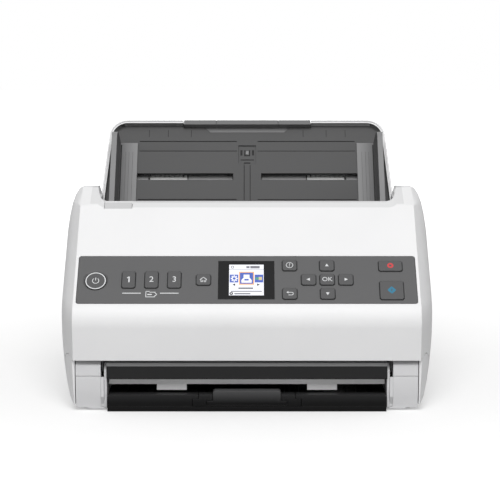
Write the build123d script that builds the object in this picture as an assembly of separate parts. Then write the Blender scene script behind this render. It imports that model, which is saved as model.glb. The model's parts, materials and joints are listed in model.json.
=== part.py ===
from build123d import *
import os
from math import acos, atan2, cos, degrees, hypot, pi, radians, sin, tan

# Sheet fed document scanner: a base with a paper path, a front cover that swings open on two hinge
# arms, a sloping input tray with coupled edge guides, and an output tray in three telescoping stages.
# Lengths are in mm. x runs to the right seen from the front and is 0 at the middle, y counts back
# from the front of the cover, and z up from the table. The last section moves the origin to the
# middle of the machine's footprint and writes one STEP file for each piece.

# ---- body ----
BODY_DEPTH = 169.0
FLARE_DEPTH = 57.0          # from the front back to the widest place
FLARE_WIDTH = 13.5          # that each flank stands out past the flat front
FLANK_DROP = 52.0           # that the top falls, the bottom rises and the back tucks in at the widest
FLANK_RISE = 59.0
FLANK_TUCK = 22.0
FLANK_STEPS = 8
BODY_BOTTOM = 5.0
FRONT_LEAN = 6.0            # degrees that the lower front leans back towards the table
BEND_RADIUS = 22.0
BEND_Z = 68.2               # height of the bend's centre
PANEL_SLOPE = 46.0
KNEE_Z = 154.6              # where the slope turns flatter, towards the crest
KNEE_RADIUS = 8.0
CREST_SLOPE = 28.0
CREST_Z = 167.0
CREST_BACK_Y = 112.0
CREST_RADIUS = 4.5
REAR_SLOPE = 32.6
REAR_SHOULDER_Z = 128.0
REAR_RADIUS = 12.0
WALL = 2.4
SEAM_GAP = 0.6
FAR = 400.0                 # past any piece, for cuts that go right through

# ---- widths, each from the one inside it: half the machine, from the paper out to the flat front ----
PAPER_HALF = 108.0
SIDE_PLATE_T = 2.0
RAIL_T = 2.0
ARM_SLOT = 2.5              # between a rail of the base and its corner block, for the hinge arm
GUIDE_HALF = PAPER_HALF + 5.4
PLATE_FACE = GUIDE_HALF + SIDE_PLATE_T
RAIL_X = GUIDE_HALF - ARM_SLOT - RAIL_T
GEAR_X = PLATE_FACE + 3.6
NOTCH_HALF = GEAR_X         # cut-out of the cover's top edge for the paper
FRAME_HALF = NOTCH_HALF - SEAM_GAP
HOOK_X = NOTCH_HALF + WALL + SEAM_GAP
HOOK_T = 2.6
SIDE_WALL_X = HOOK_X + HOOK_T + 1.9
BASE_HALF = SIDE_WALL_X + 2.9
BLOCK_FAR = BASE_HALF + 3.4
FACE_HALF = BLOCK_FAR + 1.7 # flat front between the two flared flanks
FIT = 0.3                   # clearance round fixed pieces
RUN = 0.05                  # radial clearance of a shaft in its bearing

# ---- front cover and its hinge ----
COVER_BOTTOM = 40.3
SEAM_BACK_Y = 94.0
SEAM_LEAN = 82.0
SEAM_RADIUS = 18.0
HINGE_Y = 14.0
HINGE_Z = 33.0
PIN_RADIUS = 2.5
ARM_T = 1.4
ARM_HALF = 4.5
ARM_REACH = 30.0            # up into the cover's frame
NOTCH_FLARE = 3.0
NOTCH_Z = 156.4
NOTCH_RADIUS = 8.0
BEVEL = 7.2                 # width of the bevel that follows the cut-out
BEVEL_DEPTH = 1.8
LEVER_X = -104.0
LEVER_WIDTH = 22.0
LEVER_REACH = 6.5           # down from the cut-out's edge
LEVER_SLOT_END = 12.0       # past the edge, and wider by this much there
LEVER_FLARE = 1.2
LEVER_ARM_T = 2.8
LEVER_ARM_INSET = 3.0       # from either side of the tab
LATCH_Y = 64.0
LATCH_Z = 131.8
LATCH_RADIUS = 2.6
LEVER_ROOM = 11.0           # depth of the clearance behind the tab, for its swing
TAB_LOW = 3.2               # the finger tab, below the slope
TAB_HIGH = 0.9
HOOK_TIP_Y = 96.0
HOOK_NOSE = 9.0

# ---- black frame inside the cover, and the throat in front of the paper ----
FRAME_FRONT = 4.0           # in front of the hinge's axis, and below the bend
FRAME_LIFT = 6.0
FRAME_DEPTH = 9.0           # below the slope
FRAME_EDGE = 5.0            # short of the cut-out's edge
FRAME_LIP = 3.4
FRAME_START_S = 23.0
FRAME_HEEL = (11.5, 4.5)    # behind the hinge's axis and over the cover's lower edge
THROAT_LIP = (3.5, 1.0)
THROAT_START = 8.0          # along the path, past the pickup roller
THROAT_BELLY = (6.0, 24.0)

# ---- control panel, on the slope: l counts up from the end of the bend ----
PANEL_HALF = FACE_HALF - 2.5
PANEL_LOW = 1.2
PANEL_LENGTH = 45.4
PANEL_RADIUS = 2.0
PANEL_FLANGE = 1.2
BUTTON_RISE = 0.9
BUTTON_GAP = 0.35
BUTTON_LIP = 1.1
BUTTON_LIP_T = 1.2
DISPLAY_X = -0.5
DISPLAY_L = 23.6
DISPLAY_WIDTH = 43.6
DISPLAY_LENGTH = 36.6
DISPLAY_T = 1.2
POWER_X = 14.0 - PANEL_HALF
POWER_L = 23.3
POWER_RADIUS = 8.2
POWER_SINK = 0.6
DISH_DEEP = 1.2
DISH_SLOPE = 50.0
BUTTON_CORNER = 1.3
HOME_X = DISPLAY_X - DISPLAY_WIDTH / 2 - 11.6
HELP_X = DISPLAY_X + DISPLAY_WIDTH / 2 + 12.1
TWO_X = (POWER_X + HOME_X) / 2 + 1.55
NUMBER_PITCH = 17.8         # between the numbered keys
OK_X = HELP_X + 29.2
ARROW_PITCH = 14.5
STOP_X = PANEL_HALF - 19.6

# ---- paper path: s counts back along it from the exit ----
TRAY_SLOPE = 55.0
EXIT_SLOPE = 24.0
PATH_CORNER_Y = 75.2        # where the exit's and the tray's lines would meet
PATH_CORNER_Z = 54.5
PATH_RADIUS = 120.0
EXIT_Y = 8.0
GUIDE_GAP = 1.0             # from the paper to the guide on either side
GUIDE_T = 2.4
GUIDE_START = 8.0
RIB_HEIGHT = 0.6
RIB_WIDTH = 1.2
RIB_PITCH = 24.0

# ---- input tray, on its own slope: l counts up from its middle, h over the paper's surface ----
TRAY_Y = 158.7
TRAY_LOW = -57.0
TRAY_TOP = 50.0
TRAY_HALF_LOW = SIDE_WALL_X - 0.7
TRAY_HALF_TOP = TRAY_HALF_LOW - 7.6
TRAY_RADIUS = 16.0
TRAY_RIM = 6.0
TRAY_DEEP = 16.0
RIM_T = 1.7
LINER_T = 2.2
LINER_LIP = 1.3
GROOVES = (31.4, 21.8, -26.4)
GROOVE_NEAR = 9.0
GROOVE_FAR = PAPER_HALF - 15.0
GROOVE_WIDTH = 0.8
GROOVE_DEEP = 1.2
FINGER_RECESS = [(-37, 46), (37, 46), (32, 40.6), (-32, 40.6)]
SENSOR_RECESS = ((-7.6, 7.6), (9.5, 27.3))
SLOT_L = -3.8
SLOT_WIDTH = 6.4
SLOT_NEAR = 12.0
SLOT_FAR = PAPER_HALF - 1.0
GUIDE_WALL = 26.0
GUIDE_WALL_T = 6.0
GUIDE_DRAFT = 1.5
GUIDE_WING = 14.5
GUIDE_LIFT = 0.3
GUIDE_LOW = -50.0
GUIDE_HIGH = 29.0
RACK_H = 2.8
RACK_T = 3.6
RACK_END = PAPER_HALF - 4.0
RACK_BACK = 3.0
RACK_REACH = 8.0
HANDLE_HALF = 55.0
HANDLE_INNER = 26.6
HANDLE_DEPTH = 4.6
GRIP_SINK = 0.6             # below the rim
SUPPORT_H = 12.8
SUPPORT_T = 4.4
SUPPORT_LOW = -38.0

# ---- output tray: each stage slides in a T-shaped slot of the one before ----
OUT_HALF = RAIL_X - 0.5
OUT_FRONT = 3.5
OUT_LENGTH = BODY_DEPTH - OUT_FRONT - 19.5
OUT_BOTTOM = 3.0
OUT_TOP = 12.0
OUT_LIP = 16.4
OUT_LIP_DEPTH = 9.0
OUT_RADIUS = 5.0
EXT_HALF = 42.0
EXT_NECK = 37.4
EXT_LOW = 4.2
EXT_HIGH = 9.7
EXT_LENGTH = OUT_LENGTH - 16.0
STOP_HALF = 31.0
STOP_NECK = 26.2
STOP_LOW = 5.4
STOP_HIGH = 8.3
STOP_LENGTH = EXT_LENGTH - 38.0
STOP_LIP = 18.6
SLIDE_FIT = 0.4
TRAY_RIBS = (40.4, 78.0, 86.0, 94.0)
EXT_RIBS = (29.6, 33.4)
TRAY_RIB_T = 1.0
TRAY_RIB_HEIGHT = 1.4
TRAY_RIB_LENGTH = 70.0

# ---- rollers and gears ----
MODULE = 1.0
PRESSURE_ANGLE = 20.0
BACKLASH = 0.24
GEAR_T = 5.0
SHAFT_RADIUS = 3.0
PICKUP_RADIUS = 13.0
PICKUP_S = 122.0
PICKUP_TEETH = 28
FEED_RADIUS = 8.0
FEED_S = 80.0
FEED_TEETH = 42
EJECT_RADIUS = 5.2
EJECT_S = 18.0
EJECT_TEETH = 27
EJECT_IDLER_RADIUS = 3.6
FEED_IDLER_RADIUS = 6.0
IDLER_SHAFT = 1.5
ROLLER_X = (14.0, 70.0)     # middles of the tyre pairs
FEED_TYRE_WIDTH = 22.0
EJECT_TYRE_WIDTH = 12.0
PICKUP_TYRE_X = 16.0
PICKUP_TYRE_WIDTH = 14.0
PICKUP_TYRE_T = 3.5
SEPARATION_RADIUS = 11.0
SEPARATION_WIDTH = 40.0
STUD_RADIUS = 2.0
IDLER_TEETH = 30
PICKUP_IDLER_TEETH = 12
MOTOR_TEETH = 14
MOTOR_HEADING = -36.0       # degrees from the feed shaft to the motor shaft
MOTOR_RADIUS = 17.5
MOTOR_LENGTH = 30.0
GUIDE_PINION_TEETH = 12
NIP_GAP = 0.3
SENSOR_S = 50.0
SENSOR_HALF = GUIDE_HALF - 2.0
SENSOR_DEPTH = 13.0
SENSOR_WIDTH = 17.0
GLASS_T = 1.6

# ---- base ----
FOOT_RADIUS = 7.0
FLOOR_Z = 1.2
FLOOR_T = 1.5
RAIL_Z = 22.0
BLOCK_TOP = 39.5
BLOCK_SPLIT_Z = 27.5
BLOCK_DEPTH = 9.4
BASE_FRONT = 5.6            # the base stands back from the cover's lower edge, which swings past it
BEVEL_TOP_Z = 11.0
BASE_FLOOR_Y = 9.0
BASE_CHAMFER = 6.0
PLATE_FRONT = 18.6
PLATE_BACK = BODY_DEPTH - 19.0
PLATE_TOP = 116.0
SIDE_WALL_Z = 95.0
SIDE_WALL_Y = 80.0
FOOT_X = GUIDE_HALF - 1.4
FOOT_Y = (24.0, BODY_DEPTH - 21.0)
RIBS = 4                    # either side of the middle one
BAR_RADIUS = 12.5
BAR_FRONT = 6.5
BAR_LEDGE = 10.0            # back edge of the step along the bar's top
BAR_STEP = 5.0              # height of that step over the hinge's axis
STRIP_HALF = RAIL_X - 1.4
STRIP_Y = 13.5
STRIP_T = 1.5
STRIP_Z = (19.8, 24.4)
STRIP_TAB_X = (47.0, 70.3)
STRIP_TAB_Z = 15.1

# ---- back and electrics ----
CONNECTOR_X = -66.0
CONNECTOR_Z = 34.0
RECESS_WIDTH = 60.0
RECESS_HEIGHT = 24.0
RECESS_DEPTH = 6.0
INLET_X = -82.0
INLET_HALF = (6.0, 5.5)
USB_X = -52.0
USB_HALF = (6.3, 6.0)
PORT_DEEP = 9.0
INLET_BORE = 3.2
INLET_PIN = 1.0
USB_MOUTH = (8.4, 7.8)
USB_TONGUE = (5.6, 3.2)
VENTS = 9
VENT_X = 22.0
VENT_PITCH = 9.0
VENT_WIDTH = 3.0
VENT_Z = (70.0, 92.0)
LOCK_X = 112.0
LOCK_Z = 34.0
LOCK_HALF = (3.5, 1.5)
SCREW_X = 122.0
SCREW_Z = (18.0, 104.0)
SCREW_RADIUS = 1.5
SCREW_HEAD = 2.9
SCREW_SINK = 1.2
SCREW_LENGTH = 9.0
SCREW_CROSS = (1.8, 0.35)
BOARD_T = 1.6
BOARD_RIGHT = 60.0
BOARD_Z = (12.0, 96.0)
# Middle x, middle z, half width, half height and height of each larger component.
BOARD_COMPONENTS = [(10, 60, 12, 12, 1.6), (-40, 66, 8, 8, 1.4), (-80, 76, 10, 5, 3), (30, 34, 6, 9, 2)]
BOARD_CAPACITORS = (0.0, 14.0)


# ---------------------------------------------------------------- helpers
def across(profile, x_from, x_to):
    """Extrude a side profile, drawn as (y, z), from one x to another."""
    return extrude(Plane.YZ.offset(x_from) * profile, amount=x_to - x_from)


def twin(solid):
    """A piece together with its mirror image on the other side of the machine."""
    return solid + mirror(solid, Plane.YZ)


def polygon(*points):
    return make_face(Polyline(*points, close=True))


def rounded(radius, *points):
    """A closed outline with one radius, or a list of radii, at its corners."""
    return make_face(FilletPolyline(*points, radius=radius, close=True))


def mirrored(values):
    return [sign * value for value in values for sign in (-1, 1)]


def block(x_from, x_to, y_from, y_to, z_from, z_to):
    middle = ((x_from + x_to) / 2, (y_from + y_to) / 2, (z_from + z_to) / 2)
    return Pos(*middle) * Box(x_to - x_from, y_to - y_from, z_to - z_from)


def rod(place, radius, x_from, x_to):
    """A round bar along x at a place (y, z)."""
    return across(Pos(*place) * Circle(radius), x_from, x_to)


def plate(plane, outline, h_from, h_to):
    """Extrude an outline drawn on a sloping plane between two heights over that plane."""
    return extrude(plane.offset(h_from) * outline, amount=h_to - h_from)


def slab(plane, x_span, l_span, h_span, radius=0.0):
    """A straight-edged plate on a sloping plane: x across, l up the slope, h over it."""
    width, length = x_span[1] - x_span[0], l_span[1] - l_span[0]
    outline = RectangleRounded(width, length, radius) if radius else Rectangle(width, length)
    middle = Pos((x_span[0] + x_span[1]) / 2, (l_span[0] + l_span[1]) / 2)
    return plate(plane, middle * outline, *h_span)


# ---------------------------------------------------------------- body form
def bend_corner(setback):
    """Where the lean of the lower front would meet the slope, if the bend had no radius."""
    half_turn = radians(90 + FRONT_LEAN - PANEL_SLOPE) / 2
    direction = radians((270 + FRONT_LEAN + PANEL_SLOPE) / 2)
    reach = BEND_RADIUS / cos(half_turn)
    return BEND_RADIUS + setback + reach * cos(direction), BEND_Z + reach * sin(direction)


def body_outline(setback, drop, rise, tuck):
    """Side outline of the body: front set back, top lowered, bottom raised and back tucked in."""
    bend = bend_corner(setback)
    low = BODY_BOTTOM + rise
    top = CREST_Z - drop
    back = BODY_DEPTH - tuck
    toe = (bend[0] + (bend[1] - low) * tan(radians(FRONT_LEAN)), low)
    knee_z = min(KNEE_Z, top - 4)
    knee = (bend[0] + (knee_z - bend[1]) / tan(radians(PANEL_SLOPE)), knee_z)
    crest_front = (knee[0] + (top - knee_z) / tan(radians(CREST_SLOPE)), top)
    crest_back = (min(CREST_BACK_Y + drop / tan(radians(REAR_SLOPE)), back - 12), top)
    shoulder = (back, min(REAR_SHOULDER_Z, top - 8))
    radii = [0, BEND_RADIUS, KNEE_RADIUS, CREST_RADIUS, CREST_RADIUS, REAR_RADIUS, 0]
    return rounded(radii, toe, bend, knee, crest_front, crest_back, shoulder, (back, low))


def body_form(inset, steps):
    """The body's outer form, or with an inset the hollow inside its walls. Each flank starts at a crease
    beside the flat front and flares along a parabola to the widest place, in straight bands."""
    outlines, places = [], []
    for step in range(steps):
        back = step / (steps - 1)
        out = 1 - (1 - back) ** 2
        dip = 1 - (1 - out**2) ** 0.5
        rise = FLANK_RISE * out**1.8
        outline = body_outline(FLARE_DEPTH * back, FLANK_DROP * dip, rise, FLANK_TUCK * dip)
        outlines.append(offset(outline, amount=-inset, kind=Kind.INTERSECTION) if inset else outline)
        places.append(FACE_HALF + out * FLARE_WIDTH - inset)
    flank = loft([Plane.YZ.offset(x) * outline for x, outline in zip(places, outlines)], ruled=True)
    return extrude(Plane.YZ * outlines[0], amount=FACE_HALF - inset, both=True) + twin(flank)


OUTER = body_form(0, FLANK_STEPS)
HOLLOW = body_form(WALL, FLANK_STEPS // 2)
SHELL = OUTER - HOLLOW

BEND_END = (
    BEND_RADIUS - BEND_RADIUS * sin(radians(PANEL_SLOPE)),
    BEND_Z + BEND_RADIUS * cos(radians(PANEL_SLOPE)),
)
SLOPE_NORMAL = (0, -sin(radians(PANEL_SLOPE)), cos(radians(PANEL_SLOPE)))
PANEL = Plane(origin=(0, *BEND_END), x_dir=(1, 0, 0), z_dir=SLOPE_NORMAL)
EDGE_L = (NOTCH_Z - BEND_END[1]) / sin(radians(PANEL_SLOPE))


def seam(gap):
    """The cover's side of the seam, as (y, z), grown by a gap."""
    back = SEAM_BACK_Y + gap
    low = COVER_BOTTOM - gap
    top = CREST_Z + WALL
    back_top = back + (top - low) / tan(radians(SEAM_LEAN))
    return rounded([0, SEAM_RADIUS + gap, 0, 0], (-FAR, low), (back, low), (back_top, top), (-FAR, top))


def knuckle(gap):
    """Round about the hinge's axis, where the flanks' seam follows the cover's swing."""
    radius = hypot(HINGE_Y - BASE_FRONT, COVER_BOTTOM - SEAM_GAP - HINGE_Z) + gap
    return twin(rod((HINGE_Y, HINGE_Z), radius, BLOCK_FAR + SEAM_GAP, FAR))


COVER_ZONE = across(seam(0), -FAR, FAR) - knuckle(SEAM_GAP)
BASE_ZONE = block(-FAR, FAR, BASE_FRONT, FAR, 0, FAR) - (across(seam(SEAM_GAP), -FAR, FAR) - knuckle(0))


# ---------------------------------------------------------------- paper path
def path_corner(shift):
    """Corner of the path's two lines, shifted towards the cover."""
    bisector = radians((TRAY_SLOPE + EXIT_SLOPE) / 2)
    reach = shift / cos(radians(TRAY_SLOPE - EXIT_SLOPE) / 2)
    return PATH_CORNER_Y - reach * sin(bisector), PATH_CORNER_Z + reach * cos(bisector)


def along(place, slope, reach):
    return place[0] + reach * cos(radians(slope)), place[1] + reach * sin(radians(slope))


PATH_TURN = radians(TRAY_SLOPE - EXIT_SLOPE)
PATH_TANGENT = PATH_RADIUS * tan(PATH_TURN / 2)
EXIT_REACH = (PATH_CORNER_Y - EXIT_Y) / cos(radians(EXIT_SLOPE))
ARC_START = EXIT_REACH - PATH_TANGENT
ARC_END = ARC_START + PATH_RADIUS * PATH_TURN
TRAY_Z = PATH_CORNER_Z + (TRAY_Y - PATH_CORNER_Y) * tan(radians(TRAY_SLOPE))
TRAY_NORMAL = (0, -sin(radians(TRAY_SLOPE)), cos(radians(TRAY_SLOPE)))
TRAY = Plane(origin=(0, TRAY_Y, TRAY_Z), x_dir=(1, 0, 0), z_dir=TRAY_NORMAL)
TRAY_S = ARC_END - PATH_TANGENT + (TRAY_Y - PATH_CORNER_Y) / cos(radians(TRAY_SLOPE))


def on_path(s, shift=0.0):
    """Place (y, z) and slope in degrees at s along the path, shifted towards the cover."""
    corner = path_corner(0)
    if s < ARC_START:
        slope = EXIT_SLOPE
        place = along(corner, slope, s - EXIT_REACH)
    elif s > ARC_END:
        slope = TRAY_SLOPE
        place = along(corner, slope, PATH_TANGENT + s - ARC_END)
    else:
        slope = EXIT_SLOPE + degrees((s - ARC_START) / PATH_RADIUS)
        start = along(corner, EXIT_SLOPE, -PATH_TANGENT)
        centre = along(start, EXIT_SLOPE + 90, PATH_RADIUS)
        place = along(centre, slope - 90, PATH_RADIUS)
    return along(place, slope + 90, shift), slope


def path_band(s_from, s_to, shift_from, shift_to):
    """A strip along the path between two shifts, as (y, z)."""
    lines = []
    for shift in (shift_from, shift_to):
        ends = on_path(s_from, shift)[0], on_path(s_to, shift)[0]
        if s_from < ARC_START and s_to > ARC_END:
            line = FilletPolyline(ends[0], path_corner(shift), ends[1], radius=PATH_RADIUS - shift)
        else:
            line = ThreePointArc(ends[0], on_path((s_from + s_to) / 2, shift)[0], ends[1])
        lines.append(line)
    ends = [Line(a @ t, b @ t) for t in (0, 1) for a, b in [lines]]
    return make_face([*lines[0].edges(), *lines[1].edges(), *ends])


def path_plane(s, shift=0.0):
    """Plane touching the path at s: x across, y along the paper, z towards the cover."""
    place, slope = on_path(s, shift)
    normal = (0, -sin(radians(slope)), cos(radians(slope)))
    return Plane(origin=(0, *place), x_dir=(1, 0, 0), z_dir=normal)


PICKUP = on_path(PICKUP_S, -PICKUP_RADIUS)[0]
SEPARATION = on_path(PICKUP_S, SEPARATION_RADIUS + NIP_GAP)[0]
FEED = on_path(FEED_S, -FEED_RADIUS)[0]
FEED_IDLER = on_path(FEED_S, FEED_IDLER_RADIUS + NIP_GAP)[0]
EJECT = on_path(EJECT_S, -EJECT_RADIUS)[0]
EJECT_IDLER = on_path(EJECT_S, EJECT_IDLER_RADIUS + NIP_GAP)[0]


# ---------------------------------------------------------------- gears
def involute(radius, base):
    """Polar angle that an involute has turned through when it reaches a radius."""
    return tan(acos(base / radius)) - acos(base / radius)


def gear_outline(teeth, phase):
    """Spur gear with straight-chord involute flanks. A tooth's middle stands at the phase, in degrees."""
    pitch = MODULE * teeth / 2
    base = pitch * cos(radians(PRESSURE_ANGLE))
    root, tip = pitch - 1.25 * MODULE, pitch + MODULE
    half_tooth = pi / (2 * teeth) - BACKLASH / 2 / pitch
    points = []
    flank = [(root, half_tooth + 0.9 * involute(pitch, base))]
    for radius in (pitch, tip):
        flank.append((radius, half_tooth + involute(pitch, base) - involute(radius, base)))
    for tooth in range(teeth):
        middle = radians(phase) + 2 * pi * tooth / teeth
        turned = [(r, middle - a) for r, a in flank] + [(r, middle + a) for r, a in reversed(flank)]
        points += [(r * cos(a), r * sin(a)) for r, a in turned]
    return polygon(*points)


def direction(a, b):
    return degrees(atan2(b[1] - a[1], b[0] - a[0]))


def meshed_phase(place, teeth, phase, other, other_teeth):
    """Phase that puts another gear in mesh with one whose phase is known."""
    heading = direction(place, other)
    share = (heading - phase) / (360 / teeth) % 1
    return heading + 180 - 360 / other_teeth * (0.5 - share)


def between(a, reach_a, b, reach_b):
    """The lower meeting point of two circles about a and b."""
    gap = hypot(b[0] - a[0], b[1] - a[1])
    corner = degrees(acos((reach_a**2 + gap**2 - reach_b**2) / (2 * reach_a * gap)))
    return along(a, direction(a, b) - corner, reach_a)


def centre_distance(teeth, other_teeth):
    return MODULE * (teeth + other_teeth) / 2


def gear(place, teeth, phase, x_from=GEAR_X, length=GEAR_T, hub=0.0):
    wheel = across(Pos(*place) * gear_outline(teeth, phase), x_from, x_from + length)
    return wheel + rod(place, hub, x_from - 1.5, x_from) if hub else wheel


EJECT_GEAR_IDLER = between(
    EJECT, centre_distance(EJECT_TEETH, IDLER_TEETH), FEED, centre_distance(FEED_TEETH, IDLER_TEETH)
)
PICKUP_GEAR_IDLER = between(
    FEED,
    centre_distance(FEED_TEETH, PICKUP_IDLER_TEETH),
    PICKUP,
    centre_distance(PICKUP_TEETH, PICKUP_IDLER_TEETH),
)
FEED_PHASE = 0.0
MOTOR_PLACE = along(FEED, MOTOR_HEADING, centre_distance(FEED_TEETH, MOTOR_TEETH))
MOTOR_PHASE = meshed_phase(FEED, FEED_TEETH, FEED_PHASE, MOTOR_PLACE, MOTOR_TEETH)
EJECT_IDLER_PHASE = meshed_phase(FEED, FEED_TEETH, FEED_PHASE, EJECT_GEAR_IDLER, IDLER_TEETH)
EJECT_PHASE = meshed_phase(EJECT_GEAR_IDLER, IDLER_TEETH, EJECT_IDLER_PHASE, EJECT, EJECT_TEETH)
PICKUP_IDLER_PHASE = meshed_phase(FEED, FEED_TEETH, FEED_PHASE, PICKUP_GEAR_IDLER, PICKUP_IDLER_TEETH)
PICKUP_PHASE = meshed_phase(PICKUP_GEAR_IDLER, PICKUP_IDLER_TEETH, PICKUP_IDLER_PHASE, PICKUP, PICKUP_TEETH)


# ---------------------------------------------------------------- front cover
def notch(grow):
    """The cut-out of the cover's top edge, seen from the front, as (x, z)."""
    top = CREST_Z + 20
    low = NOTCH_Z - grow
    half = NOTCH_HALF + grow
    flare = NOTCH_FLARE * (top - NOTCH_Z) / (CREST_Z - NOTCH_Z)
    corner = NOTCH_RADIUS + grow
    points = [(-half, low), (half, low), (half + flare, top), (-half - flare, top)]
    return rounded([corner, corner, 0, 0], *points)


def notch_prism(grow):
    return extrude(Plane.XZ * notch(grow), amount=FAR / 2, both=True)


def edge_bevel():
    """The wedge taken off round the cut-out: wide at its foot, gone at the crest of each ear."""
    crest_l = (CREST_Z - BEND_END[1]) / sin(radians(PANEL_SLOPE)) + 6
    half_top = NOTCH_HALF + NOTCH_FLARE
    wide = [(-half_top, crest_l), (-NOTCH_HALF - BEVEL, EDGE_L - BEVEL)]
    narrow = [(-half_top + 0.1, crest_l), (-NOTCH_HALF, EDGE_L)]
    faces = []
    for half, height, radius in ((wide, 0.2, NOTCH_RADIUS + 3), (narrow, -BEVEL_DEPTH, NOTCH_RADIUS)):
        points = [half[0], half[1], (-half[1][0], half[1][1]), (-half[0][0], half[0][1])]
        faces.append(PANEL.offset(height) * rounded([0, radius, radius, 0], *points))
    return loft(faces, ruled=True)


def lever_slot(grow):
    """Notch in the edge for the opening lever, on the slope."""
    half = LEVER_WIDTH / 2 + grow
    low, high = EDGE_L - LEVER_REACH - grow, EDGE_L + LEVER_SLOT_END
    left, right = LEVER_X - half, LEVER_X + half
    return polygon((left, low), (right, low), (right + LEVER_FLARE, high), (left, high))


def throat_side():
    """The open throat behind the cover's top lip, as (y, z)."""
    lip_back = BEND_END[0] + EDGE_L * cos(radians(PANEL_SLOPE)) + 8
    return polygon((lip_back, COVER_BOTTOM), (FAR, COVER_BOTTOM), (FAR, FAR), (lip_back, FAR))


def front_cover():
    hollow = HOLLOW - notch_prism(WALL)
    lip_void = across(throat_side(), -NOTCH_HALF - WALL, NOTCH_HALF + WALL)
    body = (OUTER & COVER_ZONE) - hollow - (lip_void & HOLLOW) - notch_prism(0)
    ear = block(NOTCH_HALF, NOTCH_HALF + WALL, LATCH_Y + 22, FAR, REAR_SHOULDER_Z, FAR)
    ear_wall = twin(ear) & OUTER & COVER_ZONE
    body += ear_wall - notch_prism(0)
    body -= edge_bevel()
    body -= plate(PANEL, lever_slot(FIT), -2 * WALL, 2 * WALL)
    opening = slab(
        PANEL,
        (-PANEL_HALF - FIT, PANEL_HALF + FIT),
        (PANEL_LOW - FIT, PANEL_LOW + PANEL_LENGTH + FIT),
        (-2 * WALL, 2 * WALL),
        PANEL_RADIUS + FIT,
    )
    return body - opening


def under_slope(l, depth):
    """Place (y, z) at a length up the panel's slope and a depth below it."""
    foot = along(BEND_END, PANEL_SLOPE - 90, depth)
    return along(foot, PANEL_SLOPE, l)


def front_interior():
    """Side outline of the space inside the cover that its frame fills, as (y, z)."""
    low = (HINGE_Y - FRAME_FRONT, COVER_BOTTOM + FRAME_LIFT)
    front = (low[0], bend_corner(0)[1] - FRAME_FRONT)
    inner = under_slope(0, FRAME_DEPTH)
    upper = under_slope(EDGE_L - FRAME_EDGE, FRAME_DEPTH)
    lip = under_slope(EDGE_L - FRAME_LIP, WALL + RUN)
    throat_top = (lip[0] + THROAT_LIP[0], lip[1] - THROAT_LIP[1])
    throat_low = on_path(PICKUP_S + THROAT_START, GUIDE_GAP)[0]
    throat_middle = (throat_low[0] - THROAT_BELLY[0], throat_low[1] + THROAT_BELLY[1])
    start = on_path(FRAME_START_S, GUIDE_GAP)[0]
    heel = (HINGE_Y + FRAME_HEEL[0], COVER_BOTTOM + FRAME_HEEL[1])
    corner = path_corner(GUIDE_GAP)
    points = [low, front, inner, upper, lip, throat_top, throat_middle, throat_low, corner, start, heel]
    radii = [2, 6, 4, 0, 0, 3, 12, 5, PATH_RADIUS - GUIDE_GAP, 0, 4]
    return rounded(radii, *points)


ROLLER_MIDDLES = mirrored(ROLLER_X)
PICKUP_MIDDLES = mirrored([PICKUP_TYRE_X])


def cover_frame():
    """Upper paper guide, throat plate and end plates in one black moulding, open towards the skin."""
    outline = front_interior()
    inner = offset(outline, amount=-GUIDE_T, kind=Kind.INTERSECTION)
    void = inner + Pos(-GUIDE_T - 2, 1.5) * inner
    body = across(outline, -FRAME_HALF, FRAME_HALF)
    body -= across(void, -FRAME_HALF + GUIDE_T, FRAME_HALF - GUIDE_T)
    for middle in ROLLER_MIDDLES:
        window = Pos(middle, 0) * Rectangle(FEED_TYRE_WIDTH, 2 * FEED_IDLER_RADIUS + 1)
        body -= plate(path_plane(FEED_S), window, -1, GUIDE_T + 3)
    body -= plate(path_plane(SENSOR_S), Rectangle(2 * SENSOR_HALF, SENSOR_WIDTH + 2 * FIT), -1, GUIDE_T + 3)
    half = SEPARATION_WIDTH / 2 + 1.5
    body -= rod(SEPARATION, SEPARATION_RADIUS + 1, -half, half)
    for place, radius in ((SEPARATION, SHAFT_RADIUS), (FEED_IDLER, IDLER_SHAFT)):
        body -= rod(place, radius + RUN, -FAR, FAR)
    body -= rod((LATCH_Y, LATCH_Z), LATCH_RADIUS + RUN, -FAR, FAR)
    body -= plate(PANEL, lever_slot(1.0), -LEVER_ROOM, 2 * WALL)
    return body - twin(across(arm_outline(), ARM_X, ARM_X + ARM_T))


def tyres(place, radius, bore, middles, width):
    """Rubber tyres as separate rings, on their shaft."""
    rings = Part()
    for middle in middles:
        ring = rod(place, radius, middle - width / 2, middle + width / 2)
        rings += ring - rod(place, bore, middle - width, middle + width)
    return rings


SHAFT_END = GUIDE_HALF + SIDE_PLATE_T + 1.0


def driven_shaft(place, teeth, phase):
    """Plain shaft through both side plates, with its gear moulded on at the right."""
    return rod(place, SHAFT_RADIUS, -SHAFT_END, GEAR_X) + gear(place, teeth, phase)


def feed_shaft():
    return driven_shaft(FEED, FEED_TEETH, FEED_PHASE)


def feed_tyres():
    return tyres(FEED, FEED_RADIUS, SHAFT_RADIUS, ROLLER_MIDDLES, FEED_TYRE_WIDTH)


def eject_shaft():
    return driven_shaft(EJECT, EJECT_TEETH, EJECT_PHASE)


def eject_tyres():
    return tyres(EJECT, EJECT_RADIUS, SHAFT_RADIUS, ROLLER_MIDDLES, EJECT_TYRE_WIDTH)


def pickup_shaft():
    half = PICKUP_TYRE_X + PICKUP_TYRE_WIDTH / 2
    core = rod(PICKUP, PICKUP_RADIUS - PICKUP_TYRE_T, -half, half)
    return driven_shaft(PICKUP, PICKUP_TEETH, PICKUP_PHASE) + core


def pickup_tyres():
    return tyres(PICKUP, PICKUP_RADIUS, PICKUP_RADIUS - PICKUP_TYRE_T, PICKUP_MIDDLES, PICKUP_TYRE_WIDTH)


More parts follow.
